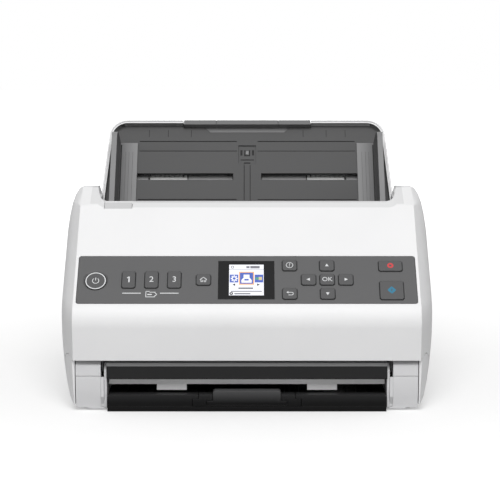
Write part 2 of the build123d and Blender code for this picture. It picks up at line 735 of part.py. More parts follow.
def separation_roller():
    body = rod(SEPARATION, SHAFT_RADIUS, -FRAME_HALF, FRAME_HALF)
    return body + rod(SEPARATION, SEPARATION_RADIUS, -SEPARATION_WIDTH / 2, SEPARATION_WIDTH / 2)


def idlers(place, radius, width, half):
    body = rod(place, IDLER_SHAFT, -half, half)
    for middle in ROLLER_MIDDLES:
        body += rod(place, radius, middle - width / 2, middle + width / 2)
    return body


def loose_gear(place, teeth, phase, bore):
    """Idler gear that turns on a stud of the right side plate."""
    return gear(place, teeth, phase) - rod(place, bore + RUN, GEAR_X - 1, GEAR_X + GEAR_T + 1)


# ---------------------------------------------------------------- cover's other pieces
def arm_outline():
    """Side outline of a hinge arm, as (y, z)."""
    foot = COVER_BOTTOM + FRAME_LIFT
    heel = HINGE_Y + FRAME_HEEL[0]
    arm = polygon(
        (HINGE_Y - ARM_HALF, HINGE_Z),
        (HINGE_Y + ARM_HALF, HINGE_Z),
        (heel + 6, foot + 2),
        (heel + 10, foot + ARM_REACH),
        (HINGE_Y + 2, foot + ARM_REACH),
        (HINGE_Y - 3, foot),
    )
    return arm + Pos(HINGE_Y, HINGE_Z) * Circle(2 * PIN_RADIUS)


ARM_X = GUIDE_HALF - (GUIDE_HALF - RAIL_X - RAIL_T + ARM_T) / 2


def hinge_arms():
    """Thin steel arms with their pins, one in the slot beside each corner block."""
    body = across(arm_outline(), ARM_X, ARM_X + ARM_T)
    return twin(body + rod((HINGE_Y, HINGE_Z), PIN_RADIUS, RAIL_X + 0.3, GUIDE_HALF + SIDE_PLATE_T))


def scan_unit(side):
    """Image sensor bar under its glass: side is 1 above the paper and -1 below it."""
    plane = path_plane(SENSOR_S)
    near, far = sorted((side * (GUIDE_GAP + GLASS_T), side * (GUIDE_GAP + GLASS_T + SENSOR_DEPTH)))
    outline = Rectangle(2 * SENSOR_HALF, SENSOR_WIDTH)
    return plate(plane, outline, near, far)


def scan_glass(side):
    near, far = sorted((side * GUIDE_GAP, side * (GUIDE_GAP + GLASS_T)))
    return plate(path_plane(SENSOR_S), Rectangle(2 * SENSOR_HALF, SENSOR_WIDTH), near, far)


def cover_lever():
    """Finger tab in the edge's slot, on a latch shaft that carries a hook at each end."""
    half = LEVER_WIDTH / 2
    low = EDGE_L - LEVER_REACH
    body = slab(PANEL, (LEVER_X - half, LEVER_X + half), (low, EDGE_L), (-TAB_LOW, -TAB_HIGH))
    root = (LATCH_Y, LATCH_Z)
    toe = under_slope(low + 2, TAB_LOW - 0.6)
    heading = direction(root, toe)
    arm_left, arm_right = (along(root, heading + turn, LEVER_ARM_T / 2) for turn in (90, -90))
    tip_left, tip_right = along(toe, heading + 90, 0.6), along(toe, heading - 90, LEVER_ARM_T / 2)
    arm = polygon(arm_left, arm_right, tip_right, tip_left)
    body += across(arm, LEVER_X - half + LEVER_ARM_INSET, LEVER_X + half - LEVER_ARM_INSET)
    body += rod(root, LATCH_RADIUS, -HOOK_X - HOOK_T, HOOK_X + HOOK_T)
    hook = polygon(
        (LATCH_Y - 3, LATCH_Z - 4),
        (LATCH_Y + 6, LATCH_Z - 4),
        (HOOK_TIP_Y, LATCH_Z + 1),
        (HOOK_TIP_Y, LATCH_Z + HOOK_NOSE),
        (LATCH_Y + 2, LATCH_Z + 5),
    )
    return body + twin(across(hook, HOOK_X, HOOK_X + HOOK_T))


# ---------------------------------------------------------------- control panel
# Name, middle x, middle l, width and length of each button.
BUTTONS = [
    ("button_one", TWO_X - NUMBER_PITCH, 23.5, 10.5, 16.0),
    ("button_two", TWO_X, 23.5, 10.5, 16.0),
    ("button_three", TWO_X + NUMBER_PITCH, 23.5, 10.5, 16.0),
    ("button_home", HOME_X, 23.5, 11.3, 10.5),
    ("button_help", HELP_X, 37.4, 11.4, 10.4),
    ("button_back", HELP_X - 0.2, 10.2, 11.4, 10.4),
    ("button_up", OK_X, 37.2, 11.4, 10.4),
    ("button_left", OK_X - ARROW_PITCH, 23.6, 11.4, 10.4),
    ("button_ok", OK_X, 23.6, 11.4, 10.4),
    ("button_right", OK_X + ARROW_PITCH, 23.6, 11.4, 10.4),
    ("button_down", OK_X, 10.2, 11.4, 10.4),
    ("button_stop", STOP_X, 36.7, 18.5, 10.0),
    ("button_start", STOP_X, 13.4, 18.5, 17.6),
]
SLOPE_AXIS = Axis(PANEL.origin, PANEL.z_dir)


def button_outline(width, length, grow=0.0):
    frame = Rectangle(width + 2 * grow, length + 2 * grow)
    return chamfer(frame.vertices(), BUTTON_CORNER + 0.4 * grow)


def button(x, l, width, length):
    """Cap with a chamfered face, on a wider lip that holds it behind the panel."""
    outline = button_outline(width, length)
    lip = Rectangle(width + 2 * BUTTON_LIP, length + 2 * BUTTON_LIP)
    under = -WALL - PANEL_FLANGE
    cap = plate(PANEL, Pos(x, l) * outline, under, BUTTON_RISE)
    cap = chamfer(cap.faces().sort_by(SLOPE_AXIS)[-1].edges(), 0.4)
    return cap + plate(PANEL, Pos(x, l) * lip, under - BUTTON_LIP_T, under)


def control_panel():
    spans = (-PANEL_HALF, PANEL_HALF), (PANEL_LOW, PANEL_LOW + PANEL_LENGTH)
    body = slab(PANEL, *spans, (-WALL, 0), PANEL_RADIUS)
    flange = (-PANEL_HALF, PANEL_HALF), (PANEL_LOW + 1.5, PANEL_LOW + PANEL_LENGTH + 3)
    body += slab(PANEL, *flange, (-WALL - PANEL_FLANGE, -WALL), PANEL_RADIUS)
    for _, x, l, width, length in BUTTONS:
        body -= plate(PANEL, Pos(x, l) * button_outline(width, length, BUTTON_GAP), -2 * WALL, WALL)
    body -= plate(PANEL, Pos(POWER_X, POWER_L) * Circle(POWER_RADIUS + BUTTON_GAP), -2 * WALL, WALL)
    dish = Plane(PANEL.location * Pos(POWER_X, POWER_L, -DISH_DEEP))
    body -= dish * extrude(Circle(POWER_RADIUS + BUTTON_GAP), amount=DISH_DEEP + 0.1, taper=-DISH_SLOPE)
    pocket = Pos(DISPLAY_X, DISPLAY_L) * Rectangle(DISPLAY_WIDTH + 0.3, DISPLAY_LENGTH + 0.3)
    return body - plate(PANEL, pocket, -DISPLAY_T, WALL)


def display_window():
    outline = Pos(DISPLAY_X, DISPLAY_L) * Rectangle(DISPLAY_WIDTH, DISPLAY_LENGTH)
    return plate(PANEL, outline, -DISPLAY_T, 0.1)


def power_button():
    place = Pos(POWER_X, POWER_L)
    under = -WALL - PANEL_FLANGE
    cap = plate(PANEL, place * Circle(POWER_RADIUS), under, -POWER_SINK)
    return cap + plate(PANEL, place * Circle(POWER_RADIUS + BUTTON_LIP), under - BUTTON_LIP_T, under)


# ---------------------------------------------------------------- input tray
def tray_half(l):
    share = (l - TRAY_LOW) / (TRAY_TOP - TRAY_LOW)
    return TRAY_HALF_LOW + share * (TRAY_HALF_TOP - TRAY_HALF_LOW)


def tray_outline(inset, top_inset):
    """Outline of the input tray on its slope, tapering upwards, with two round top corners."""
    low, top = TRAY_LOW, TRAY_TOP - top_inset
    half_low, half_top = tray_half(low) - inset, tray_half(top) - inset
    corner = TRAY_RADIUS - top_inset
    points = [(-half_low, low), (half_low, low), (half_top, top), (-half_top, top)]
    return rounded([0, 0, corner, corner], *points)


def along_tray(section, l_from, l_to):
    """Extrude a section, drawn as (x, h), along the tray."""
    origin = TRAY.from_local_coords(Vector(0, l_to, 0))
    return extrude(Plane(origin=origin, x_dir=(1, 0, 0), z_dir=-TRAY.y_dir) * section, amount=l_to - l_from)


def across_tray(section, x_from, x_to):
    """Extrude a side profile, drawn as (l, h) on the tray, from one x to another."""
    origin = TRAY.from_local_coords(Vector(x_from, 0, 0))
    return extrude(Plane(origin=origin, x_dir=TRAY.y_dir, z_dir=(1, 0, 0)) * section, amount=x_to - x_from)


def tray_frame():
    """White back shell of the input tray: rim, back plate, support rails, and a mouth at the top."""
    back = -TRAY_DEEP + 2
    body = plate(TRAY, tray_outline(0, 0), -TRAY_DEEP, TRAY_RIM)
    body -= plate(TRAY, tray_outline(RIM_T, RIM_T), back, TRAY_RIM + 1)
    body -= slab(TRAY, (-FAR, FAR), (TRAY_LOW - 30, TRAY_LOW + 14), (-TRAY_DEEP - 1, -LINER_T - 3))
    half = HANDLE_HALF + FIT
    body -= slab(TRAY, (-half, half), (0, FAR), (-SUPPORT_H - FIT, TRAY_RIM + 1))
    body += twin(slab(TRAY, (half, half + 2), (SUPPORT_LOW, TRAY_TOP - 1), (back - 0.5, -SUPPORT_H / 2 - 1)))
    tie = (-SIDE_WALL_X, SIDE_WALL_X), (TRAY_LOW, TRAY_LOW + 12)
    return body + slab(TRAY, *tie, (-LINER_T - 3, -LINER_T))


def slot_span(margin):
    half = SLOT_WIDTH / 2 - margin
    return SLOT_L - half, SLOT_L + half


def input_tray():
    """Dark paper surface with raised edges, guide slots, grooves and a finger recess at the top."""
    body = plate(TRAY, tray_outline(RIM_T, RIM_T), -LINER_T, TRAY_RIM - 0.8)
    body -= plate(TRAY, tray_outline(RIM_T + LINER_LIP, RIM_T + LINER_LIP), 0, TRAY_RIM + 1)
    body -= twin(slab(TRAY, (SLOT_NEAR, SLOT_FAR), slot_span(0), (-2 * LINER_T, 1)))
    half = HANDLE_HALF + FIT
    body -= slab(TRAY, (-half, half), (TRAY_TOP - HANDLE_DEPTH - FIT, FAR), (-FAR, FAR))
    body -= plate(TRAY, polygon(*FINGER_RECESS), -GROOVE_DEEP, 1)
    for l in GROOVES:
        groove_l = (l - GROOVE_WIDTH / 2, l + GROOVE_WIDTH / 2)
        body -= twin(slab(TRAY, (GROOVE_NEAR, GROOVE_FAR), groove_l, (-0.5, 1)))
    body -= slab(TRAY, *SENSOR_RECESS, (-GROOVE_DEEP, 1))
    body -= slab(TRAY, (-2.8, 2.8), (TRAY_LOW - 1, SENSOR_RECESS[1][0] + 1), (-0.8, 1))
    return body + plate(TRAY, Pos(0, SLOT_L) * Circle(STUD_RADIUS), -RACK_H - RACK_T, -LINER_T)


def rack_outline(side):
    """Rack of one edge guide on the tray's plane, its teeth towards the pinion and in mesh with a
    pinion that has a tooth pointing straight at the rack."""
    pitch = pi * MODULE
    line = SLOT_L - side * MODULE * GUIDE_PINION_TEETH / 2
    half = pitch / 4 - BACKLASH / 2
    slant = tan(radians(PRESSURE_ANGLE))
    depth = 1.25 * MODULE
    root = line - side * depth
    back = root - side * RACK_BACK
    points = [(-RACK_REACH, root)]
    for tooth in range(int(RACK_END / pitch) - 2):
        x = pitch * (tooth - 1.5)
        points.append((x - half - slant * depth, root))
        points.append((x - half + slant * MODULE, line + side * MODULE))
        points.append((x + half - slant * MODULE, line + side * MODULE))
        points.append((x + half + slant * depth, root))
    points += [(RACK_END, root), (RACK_END, back), (-RACK_REACH, back)]
    return polygon(*[(side * x, l) for x, l in points])


def edge_guide(side):
    """Edge guide: a thin wing on the tray, a tapered wall, and a post down to the rack."""
    face = PAPER_HALF + 1.0
    foot = face + GUIDE_DRAFT + GUIDE_WALL_T
    section = polygon(
        (side * face, GUIDE_LIFT),
        (side * foot, GUIDE_LIFT),
        (side * (foot - GUIDE_DRAFT), GUIDE_WALL),
        (side * (face + GUIDE_DRAFT), GUIDE_WALL),
    )
    corners = [(GUIDE_LOW, 0), (GUIDE_HIGH, 0), (GUIDE_HIGH, GUIDE_WALL), (GUIDE_LOW, GUIDE_WALL)]
    profile = rounded([0, 0, 9.0, 5.0], *corners)
    body = along_tray(section, GUIDE_LOW, GUIDE_HIGH) & across_tray(profile, -FAR, FAR)
    wing_x = sorted((side * (face - GUIDE_WING), side * (face + 3)))
    body += slab(TRAY, wing_x, (GUIDE_LOW, GUIDE_HIGH), (GUIDE_LIFT, GUIDE_LIFT + 1.2))
    post_x = sorted((side * (RACK_END - 6), side * (RACK_END + 2)))
    body += slab(TRAY, post_x, slot_span(FIT), (-RACK_H, GUIDE_LIFT + 0.5))
    near_l = SLOT_L + side * (SLOT_WIDTH / 2 - FIT)
    rack_l = SLOT_L - side * (MODULE * GUIDE_PINION_TEETH / 2 + 2)
    foot_l = sorted((near_l, rack_l))
    body += slab(TRAY, sorted((side * (RACK_END - 6), side * RACK_END)), foot_l, (-RACK_H - RACK_T, -RACK_H))
    return body + plate(TRAY, rack_outline(side), -RACK_H - RACK_T, -RACK_H)


def guide_pinion():
    outline = gear_outline(GUIDE_PINION_TEETH, 0.0) - Circle(STUD_RADIUS + RUN)
    return plate(TRAY, Pos(0, SLOT_L) * outline, -RACK_H - RACK_T + 0.2, -RACK_H - 0.2)


def dovetail(half, grow):
    """Section of the inner support, as (x, h), or of its channel."""
    low, high = -SUPPORT_H + SUPPORT_T / 2 - grow, -SUPPORT_H + SUPPORT_T + (1 if grow else 0)
    narrow = half - 1.2
    return polygon((-half - grow, low), (half + grow, low), (narrow + grow, high), (-narrow - grow, high))


def support_extension_outer():
    """Slide behind the tray with a dovetail channel and two finger grips at its top."""
    spans = (-HANDLE_HALF, HANDLE_HALF), (SUPPORT_LOW, TRAY_TOP)
    body = slab(TRAY, *spans, (-SUPPORT_H, -SUPPORT_H + SUPPORT_T))
    body -= along_tray(dovetail(HANDLE_INNER, SLIDE_FIT), SUPPORT_LOW - 1, FAR)
    grip_l = (TRAY_TOP - HANDLE_DEPTH, TRAY_TOP)
    grip_h = (-SUPPORT_H + SUPPORT_T, TRAY_RIM - GRIP_SINK)
    return body + twin(slab(TRAY, (HANDLE_INNER + SLIDE_FIT, HANDLE_HALF), grip_l, grip_h))


def support_extension_inner():
    """Slide in the channel of the outer one, with its own finger grip."""
    body = along_tray(dovetail(HANDLE_INNER, 0), SUPPORT_LOW, TRAY_TOP)
    grip_l = (TRAY_TOP - HANDLE_DEPTH, TRAY_TOP)
    high = -SUPPORT_H + SUPPORT_T
    half = HANDLE_INNER - 1.2
    body += slab(TRAY, (-half, half), grip_l, (high - 1, high + 1))
    return body + slab(TRAY, (-HANDLE_INNER, HANDLE_INNER), grip_l, (high + 1, TRAY_RIM - GRIP_SINK))


# ---------------------------------------------------------------- output tray
def tee(half, neck, low, high, top):
    """Section of a sliding stage seen from the front, as (x, z): wide below and narrow above."""
    right = [(half, low), (half, high), (neck, high), (neck, top)]
    return polygon(*right, *[(-x, z) for x, z in reversed(right)])


def along_y(section, y_from, y_to):
    """Extrude a section, drawn as (x, z), from one y to another."""
    return extrude(Plane.XZ.offset(-y_to) * section, amount=y_to - y_from)


def stage_ribs(middles):
    """Low ribs that run back from a stage's raised front edge."""
    low, high = OUT_TOP - 1, OUT_TOP + TRAY_RIB_HEIGHT
    start = OUT_FRONT + OUT_LIP_DEPTH - 1
    ribs = Part()
    for middle in mirrored(middles):
        left, right = middle - TRAY_RIB_T / 2, middle + TRAY_RIB_T / 2
        ribs += block(left, right, start, start + TRAY_RIB_LENGTH, low, high)
    return ribs


def output_tray():
    """Wide stage with a raised front edge, hollow from below, and a slot for the extension."""
    back = OUT_FRONT + OUT_LENGTH
    face = [(-OUT_HALF, OUT_BOTTOM), (OUT_HALF, OUT_BOTTOM), (OUT_HALF, OUT_LIP), (-OUT_HALF, OUT_LIP)]
    body = block(-OUT_HALF, OUT_HALF, OUT_FRONT, back, OUT_BOTTOM, OUT_TOP)
    body += along_y(rounded([0, 0, OUT_RADIUS, OUT_RADIUS], *face), OUT_FRONT, OUT_FRONT + OUT_LIP_DEPTH)
    under = block(EXT_HALF + 4, OUT_HALF - 2, OUT_FRONT + 3, back - 2.4, OUT_BOTTOM - 1, OUT_TOP - 2.2)
    body -= twin(under)
    slot = tee(EXT_HALF + SLIDE_FIT, EXT_NECK + SLIDE_FIT, EXT_LOW - 0.2, EXT_HIGH + 0.3, FAR)
    return body - along_y(slot, OUT_FRONT - 1, OUT_FRONT + EXT_LENGTH + 1) + stage_ribs(TRAY_RIBS)


def output_extension():
    stage_end = OUT_FRONT + EXT_LENGTH
    body = along_y(tee(EXT_HALF, EXT_NECK, EXT_LOW, EXT_HIGH, OUT_TOP), OUT_FRONT, stage_end)
    body += block(-EXT_NECK, EXT_NECK, OUT_FRONT, OUT_FRONT + OUT_LIP_DEPTH, OUT_TOP, OUT_LIP)
    slot = tee(STOP_HALF + SLIDE_FIT, STOP_NECK + SLIDE_FIT, STOP_LOW - 0.2, STOP_HIGH + 0.3, FAR)
    return body - along_y(slot, OUT_FRONT - 1, OUT_FRONT + STOP_LENGTH + 1) + stage_ribs(EXT_RIBS)


def output_end_stop():
    """Last stage, with a taller edge that stops the paper."""
    section = tee(STOP_HALF, STOP_NECK, STOP_LOW, STOP_HIGH, OUT_TOP)
    body = along_y(section, OUT_FRONT, OUT_FRONT + STOP_LENGTH)
    face = [(-STOP_NECK, OUT_TOP), (STOP_NECK, OUT_TOP), (STOP_NECK, STOP_LIP), (-STOP_NECK, STOP_LIP)]
    return body + along_y(rounded([0, 0, 2, 2], *face), OUT_FRONT, OUT_FRONT + OUT_LIP_DEPTH)


# ---------------------------------------------------------------- base
FLOOR_TOP = FLOOR_Z + FLOOR_T
GEAR_STUDS = (EJECT_GEAR_IDLER, PICKUP_GEAR_IDLER)


def floor_outline(inset):
    back = BODY_DEPTH - BASE_CHAMFER
    points = [(-BASE_HALF, BASE_FLOOR_Y), (BASE_HALF, BASE_FLOOR_Y), (BASE_HALF, back), (-BASE_HALF, back)]
    outline = chamfer(polygon(*points).vertices(), BASE_CHAMFER)
    return offset(outline, amount=-inset, kind=Kind.INTERSECTION) if inset else outline


def base_pan():
    """Floor with a low plinth, rails for the output tray with the hinge's fins, and two front corner
    blocks as open shells."""
    body = Pos(0, 0, FLOOR_Z) * extrude(floor_outline(0), amount=BODY_BOTTOM - FLOOR_Z)
    body -= Pos(0, 0, FLOOR_TOP) * extrude(floor_outline(WALL), amount=BODY_BOTTOM)
    body -= block(-GUIDE_HALF, GUIDE_HALF, 0, BASE_FLOOR_Y + WALL + 1, FLOOR_TOP, FAR)
    hole = Pos(HINGE_Y, HINGE_Z) * Circle(PIN_RADIUS + RUN)
    fin = polygon(
        (HINGE_Y - 6, FLOOR_TOP),
        (HINGE_Y - 6, HINGE_Z - 2),
        (HINGE_Y - 2, HINGE_Z + 4),
        (HINGE_Y + 3, HINGE_Z + 4),
        (HINGE_Y + 8, RAIL_Z),
        (PLATE_BACK, RAIL_Z),
        (PLATE_BACK, FLOOR_TOP),
    )
    rail = across(fin - hole, RAIL_X, RAIL_X + RAIL_T)
    back = BASE_FRONT + BLOCK_DEPTH
    front = [
        (BASE_FLOOR_Y, FLOOR_TOP - 0.5),
        (BASE_FLOOR_Y, BODY_BOTTOM),
        (BASE_FRONT, BEVEL_TOP_Z),
        (BASE_FRONT, BLOCK_TOP - 3.5),
        (BASE_FRONT + 3.5, BLOCK_TOP),
        (back, BLOCK_TOP),
    ]
    inside = [
        (back, BLOCK_TOP - WALL),
        (BASE_FRONT + 4.4, BLOCK_TOP - WALL),
        (BASE_FRONT + WALL, BLOCK_TOP - 4.4),
        (BASE_FRONT + WALL, BEVEL_TOP_Z + 0.7),
        (BASE_FLOOR_Y + WALL, BODY_BOTTOM + 0.7),
        (BASE_FLOOR_Y + WALL, FLOOR_TOP - 0.5),
    ]
    corner = across(polygon(*front, *inside), GUIDE_HALF, BLOCK_FAR)
    cheek = polygon(*front, (PLATE_FRONT - FIT, BLOCK_TOP - 4), (PLATE_FRONT - FIT, FLOOR_TOP - 0.5))
    corner += across(cheek - hole, GUIDE_HALF, GUIDE_HALF + SIDE_PLATE_T)
    corner -= block(0, FAR, 0, BASE_FRONT + 0.5, BLOCK_SPLIT_Z - 0.3, BLOCK_SPLIT_Z + 0.3)
    return body + twin(rail + corner)


def feet():
    discs = Part()
    for x in (-FOOT_X, FOOT_X):
        for y in FOOT_Y:
            discs += Pos(x, y, 0) * extrude(Circle(FOOT_RADIUS), amount=FLOOR_Z)
    return discs


def side_cover(side):
    """Outer wall of the base on one side, with the inner wall beside the input tray."""
    zone = block(SIDE_WALL_X, FAR, -FAR, PLATE_BACK, 0, FAR)
    zone -= block(0, BLOCK_FAR + SEAM_GAP, -FAR, PLATE_FRONT, 0, FAR)
    wall = block(SIDE_WALL_X, SIDE_WALL_X + WALL, SIDE_WALL_Y, PLATE_BACK, SIDE_WALL_Z, FAR)
    body = (SHELL & zone & BASE_ZONE) + (OUTER & wall & BASE_ZONE)
    return body if side > 0 else mirror(body, Plane.YZ)


def tray_envelope():
    """Space that the input tray takes from the back cover."""
    return slab(TRAY, (-SIDE_WALL_X, SIDE_WALL_X), (-FAR, FAR), (-TRAY_DEEP, FAR))


def screw_places():
    return [(x, z) for x in (-SCREW_X, SCREW_X) for z in SCREW_Z]


def y_rod(x, z, radius, y_from, y_to):
    return along_y(Pos(x, z) * Circle(radius), y_from, y_to)


def rear_cover():
    """Back wall with a recess for the connectors, vents and a security slot."""
    body = (SHELL & block(-FAR, FAR, PLATE_BACK + SEAM_GAP, FAR, 0, FAR)) - tray_envelope()
    low, high = CONNECTOR_Z - RECESS_HEIGHT / 2, CONNECTOR_Z + RECESS_HEIGHT / 2
    left, right = CONNECTOR_X - RECESS_WIDTH / 2, CONNECTOR_X + RECESS_WIDTH / 2
    floor_y = BODY_DEPTH - RECESS_DEPTH
    body += block(left - WALL, right + WALL, floor_y - WALL, BODY_DEPTH - 1, low - WALL, high + WALL)
    body -= block(left, right, floor_y, FAR, low, high)
    for x, (half_x, half_z) in ((INLET_X, INLET_HALF), (USB_X, USB_HALF)):
        low_z, high_z = CONNECTOR_Z - half_z, CONNECTOR_Z + half_z
        body -= block(x - half_x, x + half_x, floor_y - 2 * WALL, FAR, low_z, high_z)
    for number in range(VENTS):
        x = VENT_X + number * VENT_PITCH
        body -= block(x, x + VENT_WIDTH, BODY_DEPTH - 2 * WALL, FAR, *VENT_Z)
    half_x, half_z = LOCK_HALF
    inner = BODY_DEPTH - 2 * WALL
    body -= block(LOCK_X - half_x, LOCK_X + half_x, inner, FAR, LOCK_Z - half_z, LOCK_Z + half_z)
    for x, z in screw_places():
        body -= y_rod(x, z, SCREW_RADIUS, inner, FAR)
        body -= y_rod(x, z, SCREW_HEAD + FIT, BODY_DEPTH - SCREW_SINK, FAR)
    return body


def screws():
    """Cross-headed screws of the back cover."""
    pieces = Part()
    for x, z in screw_places():
        seat = BODY_DEPTH - SCREW_SINK
        screw = y_rod(x, z, SCREW_RADIUS, seat - SCREW_LENGTH, seat)
        screw += y_rod(x, z, SCREW_HEAD, seat, seat + 1)
        for half_x, half_z in (SCREW_CROSS, reversed(SCREW_CROSS)):
            screw -= block(x - half_x, x + half_x, seat + 0.3, FAR, z - half_z, z + half_z)
        pieces += screw
    return pieces


def under_path(shift, front, back, bottom, top):
    """Side outline of all that lies below the path between two y and two z."""
    corner = path_corner(shift)
    start = (front, corner[1] - (corner[0] - front) * tan(radians(EXIT_SLOPE)))
    end = (corner[0] + (top - corner[1]) / tan(radians(TRAY_SLOPE)), top)
    radii = [0, PATH_RADIUS - shift, 0, 0, 0, 0]
    return rounded(radii, start, corner, end, (back, top), (back, bottom), (front, bottom))


def frame_plates():
    """Two steel side plates: bearings for the shafts, and studs for the idler gears on the right."""
    outline = under_path(-GUIDE_GAP, PLATE_FRONT, PLATE_BACK, FLOOR_TOP, PLATE_TOP)
    for place in (FEED, EJECT, PICKUP):
        outline -= Pos(*place) * Circle(SHAFT_RADIUS + RUN)
    outline -= Pos(*MOTOR_PLACE) * Circle(STUD_RADIUS + RUN)
    body = twin(across(outline, GUIDE_HALF, GUIDE_HALF + SIDE_PLATE_T))
    for place in GEAR_STUDS:
        body += rod(place, STUD_RADIUS, GUIDE_HALF + SIDE_PLATE_T / 2, GEAR_X + GEAR_T + 1)
    return body


def lower_paper_guide():
    """Lower side of the paper path, with windows for the tyres and ribs on its straight parts."""
    end = TRAY_S + TRAY_LOW
    band = path_band(GUIDE_START, end, -GUIDE_GAP, -GUIDE_GAP - GUIDE_T)
    body = across(band, -GUIDE_HALF, GUIDE_HALF)
    lip_y = STRIP_Y + STRIP_T
    body += block(-STRIP_HALF, STRIP_HALF, lip_y, lip_y + 2, STRIP_Z[0], STRIP_Z[1] + 1)
    for span in ((GUIDE_START + 1, ARC_START), (ARC_END, end - 3)):
        middle, length = (span[0] + span[1]) / 2, span[1] - span[0]
        for number in range(-RIBS, RIBS + 1):
            rib = Pos(number * RIB_PITCH, 0) * Rectangle(RIB_WIDTH, length)
            body += plate(path_plane(middle), rib, -GUIDE_GAP - 0.5, -GUIDE_GAP + RIB_HEIGHT)
    for s, width, half_length in (
        (FEED_S, FEED_TYRE_WIDTH, FEED_RADIUS), (EJECT_S, EJECT_TYRE_WIDTH, EJECT_RADIUS + 1),
    ):
        for middle in ROLLER_MIDDLES:
            window = Pos(middle, 0) * Rectangle(width + 3, 2 * half_length)
            body -= plate(path_plane(s), window, -GUIDE_GAP - 2 * GUIDE_T, 0)
    width = 2 * PICKUP_TYRE_X + PICKUP_TYRE_WIDTH + 3
    body -= plate(path_plane(PICKUP_S), Rectangle(width, PICKUP_RADIUS + 8), -GUIDE_GAP - 2 * GUIDE_T, 0)
    window = Rectangle(2 * SENSOR_HALF, SENSOR_WIDTH + 2 * FIT)
    body -= plate(path_plane(SENSOR_S), window, -GUIDE_GAP - 2 * GUIDE_T, 0)
    body -= rod(EJECT, SHAFT_RADIUS + FIT, -FAR, FAR)
    return body - twin(block(RAIL_X - FIT, FAR, 0, PLATE_FRONT + 6, 0, FAR))


def exit_bar():
    """Black bar over the exit: round about the hinge's axis, so that the cover clears it."""
    outline = Pos(HINGE_Y, HINGE_Z) * Circle(BAR_RADIUS)
    above = polygon(on_path(-20, GUIDE_GAP)[0], on_path(ARC_START, GUIDE_GAP)[0], (FAR, FAR), (-FAR, FAR))
    outline = outline & above & polygon((BAR_FRONT, 0), (FAR, 0), (FAR, FAR), (BAR_FRONT, FAR))
    outline -= polygon((0, HINGE_Z + BAR_STEP), (BAR_LEDGE, HINGE_Z + BAR_STEP), (BAR_LEDGE, FAR), (0, FAR))
    body = across(outline, -RAIL_X, RAIL_X)
    for middle in ROLLER_MIDDLES:
        half = EJECT_TYRE_WIDTH / 2 + 0.6
        body -= rod(EJECT_IDLER, EJECT_IDLER_RADIUS + 0.6, middle - half, middle + half)
    return body - rod(EJECT_IDLER, IDLER_SHAFT + RUN, -FAR, FAR)


def exit_strip():
    """Grey strip under the exit, with two tabs."""
    body = block(-STRIP_HALF, STRIP_HALF, STRIP_Y, STRIP_Y + STRIP_T, *STRIP_Z)
    return body + twin(block(*STRIP_TAB_X, STRIP_Y, STRIP_Y + STRIP_T, STRIP_TAB_Z, STRIP_Z[1]))


def drive_motor():
    body = rod(MOTOR_PLACE, MOTOR_RADIUS, GUIDE_HALF - MOTOR_LENGTH, GUIDE_HALF)
    end = GUIDE_HALF - MOTOR_LENGTH
    return body + rod(MOTOR_PLACE, MOTOR_RADIUS / 3, end - 2, end)


def motor_pinion():
    shaft = rod(MOTOR_PLACE, STUD_RADIUS, GUIDE_HALF, GEAR_X)
    return shaft + gear(MOTOR_PLACE, MOTOR_TEETH, MOTOR_PHASE)


def main_board():
    """Circuit board behind the side plates, with its larger components."""
    board_back = PLATE_BACK + BOARD_T
    body = block(-GUIDE_HALF - SIDE_PLATE_T, BOARD_RIGHT, PLATE_BACK, board_back, *BOARD_Z)
    for x, z, half_x, half_z, height in BOARD_COMPONENTS:
        body += block(x - half_x, x + half_x, board_back, board_back + height, z - half_z, z + half_z)
    for x in BOARD_CAPACITORS:
        body += y_rod(x, BOARD_Z[0] + 12, 4, board_back, board_back + 9)
    return body


def connector(x, half_width, half_height):
    """Shell of a connector from the board to the recess, before its opening is cut."""
    width, height = half_width - FIT, half_height - FIT
    front, back = PLATE_BACK + BOARD_T, BODY_DEPTH - RECESS_DEPTH
    return block(x - width, x + width, front, back, CONNECTOR_Z - height, CONNECTOR_Z + height)


def dc_inlet():
    back = BODY_DEPTH - RECESS_DEPTH
    body = connector(INLET_X, *INLET_HALF) - y_rod(INLET_X, CONNECTOR_Z, INLET_BORE, back - PORT_DEEP, FAR)
    return body + y_rod(INLET_X, CONNECTOR_Z, INLET_PIN, back - PORT_DEEP - 0.5, back - 1)


def usb_port():
    back = BODY_DEPTH - RECESS_DEPTH
    body = connector(USB_X, *USB_HALF)
    front = back - PORT_DEEP
    body -= along_y(Pos(USB_X, CONNECTOR_Z) * Rectangle(*USB_MOUTH), front, FAR)
    return body + along_y(Pos(USB_X, CONNECTOR_Z) * Rectangle(*USB_TONGUE), front - 0.5, back - 1)


